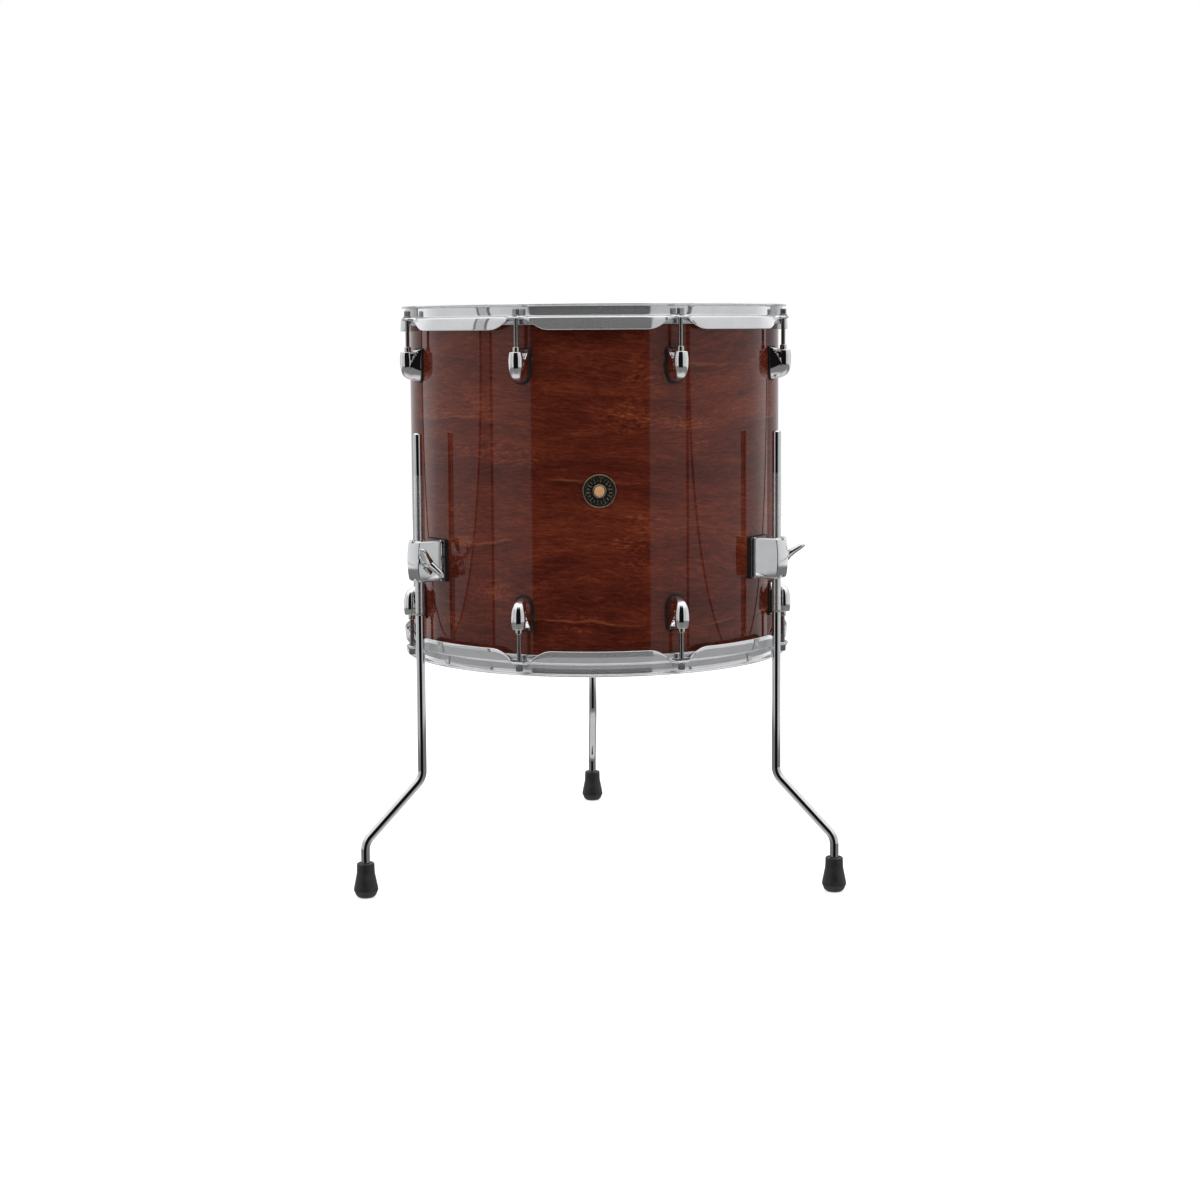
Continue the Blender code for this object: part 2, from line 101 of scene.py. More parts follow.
def curve(knots):
    """A smooth function through (x, y) knots that doesn't overshoot."""
    xs, ys = [k[0] for k in knots], [k[1] for k in knots]
    n = len(xs)
    h = [xs[i + 1] - xs[i] for i in range(n - 1)]
    d = [(ys[i + 1] - ys[i]) / h[i] for i in range(n - 1)]
    m = [d[0]] + [0.0] * (n - 2) + [d[-1]]
    for i in range(1, n - 1):
        if d[i - 1] * d[i] > 0:
            a, b = 2 * h[i] + h[i - 1], h[i] + 2 * h[i - 1]
            m[i] = (a + b) / (a / d[i - 1] + b / d[i])

    def at(x):
        if x <= xs[0]:
            return ys[0]
        if x >= xs[-1]:
            return ys[-1]
        i = max(j for j in range(n - 1) if xs[j] <= x)
        t = (x - xs[i]) / h[i]
        return (
            (2 * t**3 - 3 * t**2 + 1) * ys[i]
            + (t**3 - 2 * t**2 + t) * h[i] * m[i]
            + (3 * t**2 - 2 * t**3) * ys[i + 1]
            + (t**3 - t**2) * h[i] * m[i + 1]
        )

    return at


def rounded(points, closed=True, steps=4):
    """A polygon of (u, v, radius) corners as (u, v) points, each corner an arc
    of steps parts, so that polygons with as many corners match."""
    out, n = [], len(points)
    for i, (u, v, radius) in enumerate(points):
        if not closed and i in (0, n - 1):
            out.append((u, v))
            continue
        p, a, b = Vector((u, v)), Vector(points[i - 1][:2]), Vector(points[(i + 1) % n][:2])
        if radius <= 0:
            out.append((u, v))
            continue
        la, lb = (a - p).length, (b - p).length
        da, db = (a - p) / max(la, 1e-9), (b - p) / max(lb, 1e-9)
        half = math.acos(max(-1.0, min(1.0, da.dot(db)))) / 2
        if half > PI / 2 - 0.01:
            out.extend([(u, v)] * (steps + 1))
            continue
        reach = min(radius / math.tan(half), 0.49 * la, 0.49 * lb)
        centre = p + (da + db).normalized() * (reach / math.cos(half))
        s, e = p + da * reach - centre, p + db * reach - centre
        a0, a1 = math.atan2(s.y, s.x), math.atan2(e.y, e.x)
        turn = (a1 - a0 + PI) % (2 * PI) - PI
        for k in range(steps + 1):
            a = a0 + turn * k / steps
            out.append((centre.x + s.length * math.cos(a), centre.y + s.length * math.sin(a)))
    return out


def solid(name, verts, faces, angle=38.0, weld=2e-7):
    mesh = bpy.data.meshes.new(name)
    mesh.from_pydata([tuple(v) for v in verts], [], faces)
    bm = bmesh.new()
    bm.from_mesh(mesh)
    bmesh.ops.remove_doubles(bm, verts=bm.verts, dist=weld)
    bmesh.ops.dissolve_degenerate(bm, edges=bm.edges, dist=weld)
    bmesh.ops.recalc_face_normals(bm, faces=bm.faces)
    bm.to_mesh(mesh)
    bm.free()
    shade(mesh, angle)
    return mesh


def shade(mesh, angle=38.0):
    mesh.shade_smooth()
    mesh.set_sharp_from_angle(angle=math.radians(angle))


def loft(name, rings, closed=False, caps=True, angle=38.0, weld=2e-7):
    """A skin through rings of as many points each; closed joins last to first."""
    verts, faces, m = [p for ring in rings for p in ring], [], len(rings[0])
    pairs = [(i, i + 1) for i in range(len(rings) - 1)]
    if closed:
        pairs.append((len(rings) - 1, 0))
    for a, b in pairs:
        for i in range(m):
            j = (i + 1) % m
            faces.append((a * m + i, a * m + j, b * m + j, b * m + i))
    if caps and not closed:
        for ring, base in ((rings[0], 0), (rings[-1], (len(rings) - 1) * m)):
            verts.append(sum((Vector(p) for p in ring), Vector()) / m)
            for i in range(m):
                faces.append((base + i, base + (i + 1) % m, len(verts) - 1))
    return solid(name, verts, faces, angle, weld)


def lathe(name, profile, sides, first=0.0, angle=38.0):
    """A solid of revolution about Z from (radius, z) points.  The profile runs
    from the axis to the axis, or closes on itself."""
    verts, faces, rows = [], [], []
    for r, z in profile:
        if r < 1e-7:
            verts.append((0.0, 0.0, z))
            rows.append([len(verts) - 1] * sides)
        else:
            row = []
            for i in range(sides):
                a = 2 * PI * (i + first) / sides
                verts.append((r * math.sin(a), -r * math.cos(a), z))
                row.append(len(verts) - 1)
            rows.append(row)
    pairs = list(zip(rows, rows[1:]))
    if profile[0][0] > 1e-7:
        pairs.append((rows[-1], rows[0]))
    for a, b in pairs:
        for i in range(sides):
            j = (i + 1) % sides
            face = [a[i], a[j], b[j], b[i]]
            face = [v for k, v in enumerate(face) if v not in face[:k]]
            if len(face) > 2:
                faces.append(face)
    return solid(name, verts, faces, angle)


def inset(outline, amount):
    """A closed 2D outline moved inwards by amount along its points' normals."""
    n, out = len(outline), []
    area = sum(
        outline[i][0] * outline[(i + 1) % n][1] - outline[(i + 1) % n][0] * outline[i][1]
        for i in range(n)
    )
    side = 1.0 if area > 0 else -1.0
    for i in range(n):
        a, b = outline[i - 1], outline[(i + 1) % n]
        dx, dy = b[0] - a[0], b[1] - a[1]
        length = math.hypot(dx, dy) or 1.0
        out.append((outline[i][0] - side * dy / length * amount, outline[i][1] + side * dx / length * amount))
    return out


def pillow(name, outline, low, high, edge, steps=4, angle=38.0):
    """A plate of an outline in XY from low to high, its rims rounded by edge."""
    rings = []
    for k in range(steps + 1):
        a = PI / 2 * k / steps
        o = inset(outline, edge * (1 - math.sin(a)))
        rings.append([(x, y, low + edge * (1 - math.cos(a))) for x, y in o])
    for k in range(steps + 1):
        a = PI / 2 * k / steps
        o = inset(outline, edge * (1 - math.cos(a)))
        rings.append([(x, y, high - edge * (1 - math.sin(a))) for x, y in o])
    return loft(name, rings, angle=angle)


def circle(radius, sides, first=0.0):
    return [
        (radius * math.sin(2 * PI * (i + first) / sides), radius * math.cos(2 * PI * (i + first) / sides))
        for i in range(sides)
    ]


def rounded_box_outline(half_x, half_y, radius, steps=5):
    return rounded(
        [
            (-half_x, -half_y, radius),
            (half_x, -half_y, radius),
            (half_x, half_y, radius),
            (-half_x, half_y, radius),
        ],
        steps=steps,
    )


def polar(radius, degrees, z=0.0):
    a = math.radians(degrees)
    return Vector((radius * math.sin(a), -radius * math.cos(a), z))


def joined(name, *meshes):
    """Separate closed meshes as one mesh."""
    bm = bmesh.new()
    for mesh in meshes:
        bm.from_mesh(mesh)
    out = bpy.data.meshes.new(name)
    bm.to_mesh(out)
    bm.free()
    return out


def moved(mesh, matrix):
    out = mesh.copy()
    out.transform(matrix)
    if matrix.determinant() < 0:
        out.flip_normals()
    return out


def carve(mesh, cuts=(), unions=(), angle=38.0):
    """The mesh joined with each of unions, then with each of cuts taken away."""
    def temporary(m):
        obj = bpy.data.objects.new("tmp", m)
        bpy.context.scene.collection.objects.link(obj)
        return obj

    base = temporary(mesh)
    tools = []
    for mode, items in (("UNION", unions), ("DIFFERENCE", cuts)):
        for item in items:
            tool = temporary(item)
            tools.append(tool)
            modifier = base.modifiers.new(mode, "BOOLEAN")
            modifier.operation, modifier.solver, modifier.object = mode, "EXACT", tool
    bpy.context.view_layer.update()
    graph = bpy.context.evaluated_depsgraph_get()
    out = bpy.data.meshes.new_from_object(base.evaluated_get(graph))
    for obj in [base, *tools]:
        bpy.data.objects.remove(obj, do_unlink=True)
    out.name = mesh.name
    bm = bmesh.new()
    bm.from_mesh(out)
    bmesh.ops.dissolve_degenerate(bm, edges=bm.edges, dist=1e-6)
    bm.to_mesh(bm_out := bpy.data.meshes.new(out.name))
    bm.free()
    bpy.data.meshes.remove(out)
    shade(bm_out, angle)
    return bm_out


# Frames: the drum's axis at a height, and a place on a circle round it.
def on_drum(z, degrees=0.0):
    return Matrix.Translation((AX, AY, z)) @ Matrix.Rotation(math.radians(degrees), 4, "Z")


def on_ring(radius, degrees, z, over=False):
    place = polar(radius, degrees)
    m = Matrix.Translation((AX + place.x, AY + place.y, z)) @ Matrix.Rotation(
        math.radians(degrees), 4, "Z"
    )
    return m @ Matrix.Rotation(PI, 4, "Y") if over else m


def piece(name, mesh, materials, body, replaces=(), weighted=False):
    """The mesh as a piece that rides on a body."""
    mesh = mesh.copy()
    mesh.name = name
    if not isinstance(materials, (list, tuple)):
        materials = [materials]
    index = [face.material_index for face in mesh.polygons]
    mesh.materials.clear()
    for m in materials:
        mesh.materials.append(m)
    mesh.polygons.foreach_set("material_index", [min(i, len(materials) - 1) for i in index])
    obj = bpy.data.objects.new(name, mesh)
    bpy.context.scene.collection.objects.link(obj)
    if weighted:
        w = obj.modifiers.new("weighted", "WEIGHTED_NORMAL")
        w.keep_sharp = True
        w.weight = 60
    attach(obj, body)
    if replaces:
        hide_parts(*replaces)
    return obj


# ---------------------------------------------------------------- materials
class Nodes:
    """Short names for the nodes of one tree."""

    def __init__(self, tree):
        self.tree = tree

    def new(self, kind, **inputs):
        node = self.tree.nodes.new(kind)
        for key, value in inputs.items():
            self.put(node, key.replace("_", " "), value)
        return node

    def put(self, node, key, value):
        socket = node.inputs[key] if isinstance(key, str) else node.inputs[key]
        if isinstance(value, bpy.types.NodeSocket):
            self.tree.links.new(value, socket)
        else:
            socket.default_value = value

    def math(self, op, a, b=0.0, c=0.0, clamp=False):
        node = self.tree.nodes.new("ShaderNodeMath")
        node.operation, node.use_clamp = op, clamp
        for i, value in enumerate((a, b, c)):
            self.put(node, i, value)
        return node.outputs[0]

    def vector(self, x, y, z=0.0):
        node = self.tree.nodes.new("ShaderNodeCombineXYZ")
        for i, value in enumerate((x, y, z)):
            self.put(node, i, value)
        return node.outputs[0]

    def ranged(self, value, a, b, low=0.0, high=1.0, smooth=True):
        node = self.tree.nodes.new("ShaderNodeMapRange")
        node.interpolation_type = "SMOOTHSTEP" if smooth else "LINEAR"
        for i, v in enumerate((value, a, b, low, high)):
            self.put(node, i, v)
        return node.outputs[0]

    def noise(self, vector, scale, detail=3.0, rough=0.5, distortion=0.0, kind="3D"):
        node = self.tree.nodes.new("ShaderNodeTexNoise")
        node.noise_dimensions = kind
        self.put(node, "Vector", vector)
        for key, value in (("Scale", scale), ("Detail", detail), ("Roughness", rough), ("Distortion", distortion)):
            self.put(node, key, value)
        return node.outputs["Fac"]

    def voronoi(self, vector, scale, feature="F1"):
        node = self.tree.nodes.new("ShaderNodeTexVoronoi")
        node.feature = feature
        self.put(node, "Vector", vector)
        self.put(node, "Scale", scale)
        return node.outputs["Distance"]

    def mix(self, fac, a, b, mode="MIX"):
        node = self.tree.nodes.new("ShaderNodeMix")
        node.data_type, node.blend_type = "RGBA", mode
        self.put(node, 0, fac)
        for i, value in ((6, a), (7, b)):
            if isinstance(value, tuple) and len(value) == 3:
                value = (*value, 1.0)
            self.put(node, i, value)
        return node.outputs[2]

    def ramp(self, fac, stops):
        node = self.tree.nodes.new("ShaderNodeValToRGB")
        ramp = node.color_ramp
        while len(ramp.elements) < len(stops):
            ramp.elements.new(0.5)
        for element, (at, colour) in zip(ramp.elements, stops):
            element.position, element.color = at, (*colour, 1.0)
        self.put(node, "Fac", fac)
        return node.outputs["Color"]

    def bump(self, height, distance, strength=1.0):
        node = self.tree.nodes.new("ShaderNodeBump")
        self.put(node, "Height", height)
        node.inputs["Distance"].default_value = distance
        node.inputs["Strength"].default_value = strength
        return node.outputs["Normal"]

    def place(self):
        return self.tree.nodes.new("ShaderNodeTexCoord").outputs["Object"]

    def xyz(self, vector):
        node = self.tree.nodes.new("ShaderNodeSeparateXYZ")
        self.put(node, 0, vector)
        return node.outputs


def new_material(name, base, **sockets):
    """(material, its nodes, its Principled shader) with constants set on the
    shader's own sockets."""
    mat = bpy.data.materials.new(name)
    mat.use_nodes = True
    shader = mat.node_tree.nodes["Principled BSDF"]
    shader.inputs["Base Color"].default_value = (*base, 1.0)
    for key, value in sockets.items():
        shader.inputs[key.replace("_", " ")].default_value = value
    mat.diffuse_color = (*base, 1.0)
    return mat, Nodes(mat.node_tree), shader


def around_drum(n):
    """(distance round the drum, height, radius) of a point, in metres."""
    x, y, z = n.xyz(n.place())
    dx, dy = n.math("SUBTRACT", x, AX), n.math("SUBTRACT", y, AY)
    angle = n.math("ARCTAN2", dx, n.math("MULTIPLY", dy, -1.0))
    radius = n.math("SQRT", n.math("ADD", n.math("MULTIPLY", dx, dx), n.math("MULTIPLY", dy, dy)))
    return n.math("MULTIPLY", angle, R), z, radius


def wood_figure(n, u, v):
    """Grain that runs round the drum: (tone, fine lines, pale wavy lines)."""

    def at(su, sv, seed, detail=3.0, rough=0.5, distortion=0.0, height=None):
        place = n.vector(n.math("MULTIPLY", u, su), n.math("MULTIPLY", height or v, sv), seed)
        return n.noise(place, 1.0, detail, rough, distortion)

    def centred(value, amount):
        return n.math("MULTIPLY", n.math("SUBTRACT", value, 0.5), amount)

    warped = n.math("ADD", v, centred(at(2.4, 6.0, 3.7), 0.070))
    warped = n.math("ADD", warped, centred(at(13.0, 24.0, 9.1), 0.0085))
    warped = n.math("ADD", warped, centred(at(60.0, 80.0, 8.3, 2.0), 0.0026))
    bands = at(1.6, 17.0, 1.3, 3.0, 0.50, height=warped)
    mottle = at(14.0, 58.0, 5.2, 4.0, 0.60, 0.2, height=warped)
    fleck = at(150.0, 330.0, 7.9, 2.0, 0.55, 0.9, height=warped)
    patch = n.ranged(at(11.0, 25.0, 2.2, 2.0), 0.55, 0.68)
    fine = at(62.0, 480.0, 4.4, 3.0, 0.60, height=warped)
    finer = at(170.0, 1050.0, 6.6, 2.0, 0.5, height=warped)
    lines = n.math("ADD", n.math("MULTIPLY", fine, 0.60), n.math("MULTIPLY", finer, 0.40))
    # a few long pale lines, each with a darker zone beneath it
    run = n.math("FRACT", n.math("MULTIPLY", n.math("ADD", warped, centred(at(15.0, 24.0, 6.1, 3.0), 0.0150)), 15.0))
    where = n.ranged(at(7.5, 15.0, 2.9, 2.0), 0.52, 0.66)
    pale = n.math("MULTIPLY", n.ranged(n.math("ABSOLUTE", n.math("SUBTRACT", run, 0.5)), 0.006, 0.034, 1.0, 0.0), where)
    pale = n.math("MULTIPLY", pale, n.ranged(fine, 0.30, 0.62, 0.35, 1.0))
    under = n.math("MULTIPLY", n.math("MULTIPLY", n.ranged(run, 0.22, 0.48), n.math("LESS_THAN", run, 0.495)), where)
    tone = n.math("ADD", 0.475, centred(bands, 0.62))
    tone = n.math("ADD", tone, centred(mottle, 0.58))
    tone = n.math("ADD", tone, centred(lines, 1.05))
    tone = n.math("ADD", tone, n.math("MULTIPLY", centred(fleck, 1.0), n.math("ADD", n.math("MULTIPLY", patch, 0.75), 0.20)))
    tone = n.math("ADD", tone, n.math("MULTIPLY", patch, 0.06))
    tone = n.math("SUBTRACT", tone, n.math("MULTIPLY", under, 0.13))
    return tone, lines, pale


def shell_lacquer():
    mat, n, shader = new_material(
        "shell_lacquer", (0.115, 0.022, 0.012),
        Coat_Weight=1.0, Coat_Roughness=0.016, Coat_IOR=1.42, Specular_IOR_Level=0.0,
    )
    u, v, _ = around_drum(n)
    tone, lines, pale = wood_figure(n, u, v)
    colour = n.ramp(tone, [
        (0.06, (0.034, 0.0064, 0.0042)),
        (0.30, (0.062, 0.0112, 0.0068)),
        (0.48, (0.098, 0.0178, 0.0096)),
        (0.66, (0.152, 0.0318, 0.0146)),
        (0.92, (0.270, 0.0740, 0.0290)),
    ])
    colour = n.mix(n.math("MULTIPLY", pale, 0.36), colour, (0.300, 0.0880, 0.0370))
    pores = n.noise(n.vector(n.math("MULTIPLY", u, 85.0), n.math("MULTIPLY", v, 1300.0), 0.0), 1.0, 1.0, 0.5)
    pores = n.ranged(pores, 0.60, 0.74)
    colour = n.mix(n.math("MULTIPLY", pores, 0.55), colour, (0.030, 0.0060, 0.0040))
    n.put(shader, "Base Color", colour)
    n.put(shader, "Roughness", n.ranged(lines, 0.3, 0.7, 0.34, 0.50))
    n.put(shader, "Normal", n.bump(lines, 0.00008, 0.5))
    ripple = n.noise(n.place(), 26.0, 1.0, 0.4)
    n.put(shader, "Coat Normal", n.bump(ripple, 0.0003, 0.035))
    return mat


def bare_wood():
    """The maple inside the shell, with its plies on the edges."""
    mat, n, shader = new_material("bare_maple", (0.62, 0.42, 0.24), Coat_Weight=0.15, Coat_Roughness=0.35)
    u, v, radius = around_drum(n)
    tone, lines, pale = wood_figure(n, u, v)
    tone = n.math("ADD", tone, n.math("MULTIPLY", pale, 0.1))
    colour = n.ramp(tone, [
        (0.10, (0.50, 0.290, 0.140)),
        (0.45, (0.60, 0.370, 0.190)),
        (0.85, (0.70, 0.460, 0.260)),
    ])
    # ply lines show wherever the surface cuts across the thickness
    inner = R - PLY
    ply = n.math("FRACT", n.math("MULTIPLY", n.math("SUBTRACT", radius, inner), 6.0 / PLY))
    glue = n.math("MULTIPLY", n.ranged(ply, 0.0, 0.10, 1.0, 0.0), n.ranged(radius, inner + 0.0004, inner + 0.0006))
    colour = n.mix(n.math("MULTIPLY", glue, 0.7), colour, (0.16, 0.085, 0.040))
    n.put(shader, "Base Color", colour)
    n.put(shader, "Roughness", n.ranged(lines, 0.3, 0.7, 0.45, 0.65))
    n.put(shader, "Normal", n.bump(lines, 0.0001, 0.6))
    return mat


def chrome(name, tint=(0.80, 0.81, 0.83), rough=(0.022, 0.060), ripple=0.02, metallic=1.0):
    """Polished plating: a clear mirror with the faint waviness and haze of a
    plated casting or pressing."""
    mat, n, shader = new_material(name, tint, Metallic=metallic)
    place = n.place()
    haze = n.noise(place, 60.0, 4.0, 0.6)
    scratch = n.noise(n.vector(*[n.math("MULTIPLY", c, s) for c, s in zip(n.xyz(place), (900.0, 900.0, 70.0))]), 1.0, 2.0, 0.5)
    level = n.math("ADD", n.math("MULTIPLY", haze, 0.7), n.math("MULTIPLY", scratch, 0.3))
    n.put(shader, "Roughness", n.ranged(level, 0.35, 0.70, *rough))
    shade_ = n.ranged(haze, 0.3, 0.8, 0.0, 1.0)
    n.put(shader, "Base Color", n.mix(shade_, tint, tuple(0.94 * c for c in tint)))
    wave = n.noise(place, 85.0, 1.0, 0.4)
    n.put(shader, "Normal", n.bump(wave, 0.0004, ripple))
    return mat


def satin(name, tint, stretch=(30.0, 30.0, 1400.0), rough=(0.20, 0.34), metallic=1.0):
    """Metal with drawn or brushed lines."""
    mat, n, shader = new_material(name, tint, Metallic=metallic)
    place = n.place()
    brushed = n.noise(n.vector(*[n.math("MULTIPLY", c, s) for c, s in zip(n.xyz(place), stretch)]), 1.0, 3.0, 0.6)
    haze = n.noise(place, 45.0, 3.0, 0.6)
    n.put(shader, "Roughness", n.ranged(n.math("ADD", n.math("MULTIPLY", brushed, 0.6), n.math("MULTIPLY", haze, 0.4)), 0.3, 0.7, *rough))
    n.put(shader, "Base Color", n.mix(n.ranged(haze, 0.3, 0.7), tint, tuple(0.90 * c for c in tint)))
    n.put(shader, "Normal", n.bump(brushed, 0.00006, 0.35))
    return mat


def coated_film():
    """White sprayed coating with fine tooth, short of the head's edge."""
    mat, n, shader = new_material("coated_film", (0.86, 0.86, 0.84), Specular_IOR_Level=0.4, Subsurface_Weight=0.0)
    _, z, radius = around_drum(n)
    place = n.place()
    speck = n.noise(place, 1400.0, 3.0, 0.6)
    cloud = n.noise(place, 18.0, 3.0, 0.5)
    wander = n.math("MULTIPLY", n.math("SUBTRACT", n.noise(place, 40.0, 2.0, 0.5), 0.5), 0.003)
    edge = n.ranged(n.math("ADD", radius, wander), 0.1925, 0.1945)
    tone = n.mix(n.ranged(cloud, 0.3, 0.7), (0.86, 0.86, 0.835), (0.80, 0.80, 0.775))
    tone = n.mix(n.math("MULTIPLY", n.ranged(speck, 0.35, 0.75), 0.18), tone, (0.70, 0.70, 0.68))
    tone = n.mix(edge, tone, (0.66, 0.67, 0.66))
    n.put(shader, "Base Color", tone)
    n.put(shader, "Roughness", n.ranged(edge, 0.0, 1.0, 0.78, 0.30, smooth=False))
    n.put(shader, "Normal", n.bump(n.math("MULTIPLY", speck, n.math("SUBTRACT", 1.0, edge)), 0.00018, 0.8))
    # the thin film lets part of the light through
    trans = n.new("ShaderNodeBsdfTranslucent")
    n.put(trans, "Color", tone)
    mix = n.new("ShaderNodeMixShader")
    mix.inputs[0].default_value = 0.25
    out = mat.node_tree.nodes["Material Output"]
    mat.node_tree.links.new(shader.outputs[0], mix.inputs[1])
    mat.node_tree.links.new(trans.outputs[0], mix.inputs[2])
    mat.node_tree.links.new(mix.outputs[0], out.inputs["Surface"])
    return mat


def clear_film():
    mat, n, shader = new_material(
        "clear_film", (0.86, 0.88, 0.89), Alpha=0.24, Specular_IOR_Level=0.9, IOR=1.58,
    )
    place = n.place()
    cloud = n.noise(place, 22.0, 3.0, 0.5)
    scuff = n.noise(n.vector(*[n.math("MULTIPLY", c, s) for c, s in zip(n.xyz(place), (35.0, 420.0, 35.0))]), 1.0, 3.0, 0.6)
    n.put(shader, "Base Color", n.mix(n.ranged(cloud, 0.3, 0.7), (0.84, 0.86, 0.87), (0.78, 0.80, 0.81)))
    n.put(shader, "Roughness", n.ranged(scuff, 0.35, 0.75, 0.06, 0.16))
    n.put(shader, "Normal", n.bump(cloud, 0.0004, 0.08))
    return mat


def rubber(name, tint=(0.0125, 0.0125, 0.013), rough=(0.36, 0.52)):
    mat, n, shader = new_material(name, tint, Specular_IOR_Level=0.45)
    place = n.place()
    grain = n.noise(place, 1500.0, 3.0, 0.6)
    dust = n.noise(place, 90.0, 4.0, 0.65)
    n.put(shader, "Base Color", n.mix(n.ranged(dust, 0.45, 0.80), tint, tuple(2.1 * c for c in tint)))
    n.put(shader, "Roughness", n.ranged(dust, 0.3, 0.7, *rough))
    n.put(shader, "Normal", n.bump(grain, 0.00010, 0.35))
    return mat


def enamel():
    mat, n, shader = new_material("badge_enamel", (0.0075, 0.0075, 0.008), Coat_Weight=0.35, Coat_Roughness=0.10, Specular_IOR_Level=0.4)
    place = n.place()
    speck = n.noise(place, 700.0, 3.0, 0.6)
    n.put(shader, "Base Color", n.mix(n.ranged(speck, 0.5, 0.8), (0.0065, 0.0065, 0.007), (0.015, 0.015, 0.015)))
    n.put(shader, "Roughness", n.ranged(speck, 0.3, 0.7, 0.28, 0.42))
    n.put(shader, "Normal", n.bump(speck, 0.00005, 0.3))
    return mat


M = {
    "lacquer": shell_lacquer(),
    "maple": bare_wood(),
    "chrome": chrome("chrome"),
    "hoop": chrome("chrome_hoop", tint=(0.86, 0.865, 0.88), rough=(0.020, 0.050), metallic=0.76),
    "cast": chrome("chrome_cast", tint=(0.96, 0.962, 0.97), rough=(0.022, 0.055), ripple=0.03),
    "box": chrome("chrome_bracket", tint=(0.80, 0.81, 0.825), rough=(0.05, 0.10), ripple=0.03),
    "wing": chrome("chrome_wing", tint=(0.80, 0.805, 0.81), rough=(0.03, 0.07), ripple=0.03),
    # the flange's chrome with a dark tint: a painted dark reflection, not a finish of its own
    "flange": chrome("chrome_flange_painted_dark", tint=(0.15, 0.152, 0.158), rough=(0.08, 0.16), ripple=0.03),
    "leg": chrome("leg_chrome", tint=(0.79, 0.80, 0.82), rough=(0.028, 0.060), ripple=0.01),
    "knurl": satin("leg_knurl", (0.88, 0.885, 0.89), stretch=(800.0, 800.0, 60.0), rough=(0.06, 0.12), metallic=0.90),
    "alloy": satin("satin_aluminium", (0.66, 0.67, 0.68)),
    "rod": satin("rod_steel", (0.34, 0.34, 0.345), stretch=(300.0, 300.0, 900.0), rough=(0.16, 0.26)),
    "steel": satin("zinc_steel", (0.60, 0.60, 0.59), stretch=(500.0, 500.0, 500.0), rough=(0.22, 0.34)),
    "brass": satin("vent_brass", (0.80, 0.68, 0.47), stretch=(600.0, 600.0, 600.0), rough=(0.16, 0.28)),
    "nut": satin("nut_brass", (0.71, 0.68, 0.60), stretch=(600.0, 600.0, 600.0), rough=(0.10, 0.20)),
    "coated": coated_film(),
    "clear": clear_film(),
    "rubber": rubber("black_rubber"),
    "gasket": rubber("gasket_rubber", (0.010, 0.010, 0.0105), (0.45, 0.60)),
    "enamel": enamel(),
}


# -------------------------------------------------------------------- shell
def shell_mesh():
    half, inner = (TOP - BOTTOM) / 2, R - PLY
    upper = rounded(
        [
            (inner, 0.0, 0.0),
            (inner, half - 5.0 * MM, 2.5 * MM),
            (201.0 * MM, half, 0.6 * MM),
            (R, half - 2.6 * MM, 1.2 * MM),
            (R, 0.0, 0.0),
        ],
        closed=False,
        steps=5,
    )
    upper = upper[1:-1]
    heights = [half - 4.4 * MM - i * (2 * half - 8.8 * MM) / 22 for i in range(23)]
    profile = [(r, z) for r, z in upper]
    profile += [(R, z) for z in heights]
    profile += [(r, -z) for r, z in reversed(upper)]
    profile += [(inner, -z) for z in heights[2:-2]]
    tube = lathe("shell_tube", profile, 288)
    drill = [(x, y, z) for z in (-20 * MM, 20 * MM) for x, y in circle(6.1 * MM, 40)]
    tool = loft("vent_cut", [drill[:40], drill[40:]])
    tool.transform(Matrix.Translation((0, -R, 0)) @ Matrix.Rotation(PI / 2, 4, "X"))
    mesh = carve(tube, cuts=[tool])
    mesh.materials.clear()
    return mesh


mesh = shell_mesh()
mesh.materials.append(M["lacquer"])
mesh.materials.append(M["maple"])
half = (TOP - BOTTOM) / 2
for face in mesh.polygons:
    c, nrm = face.center, face.normal
    r = math.hypot(c.x, c.y)
    outward = (c.x * nrm.x + c.y * nrm.y) / max(r, 1e-9)
    lacquered = r > R - 0.9 * MM and outward > 0.6 and abs(c.z) < half - 1.9 * MM
    face.material_index = 0 if lacquered else 1
mesh.transform(on_drum(MID))
shell = piece("shell_plywood", mesh, [M["lacquer"], M["maple"]], "root", ["shell"])


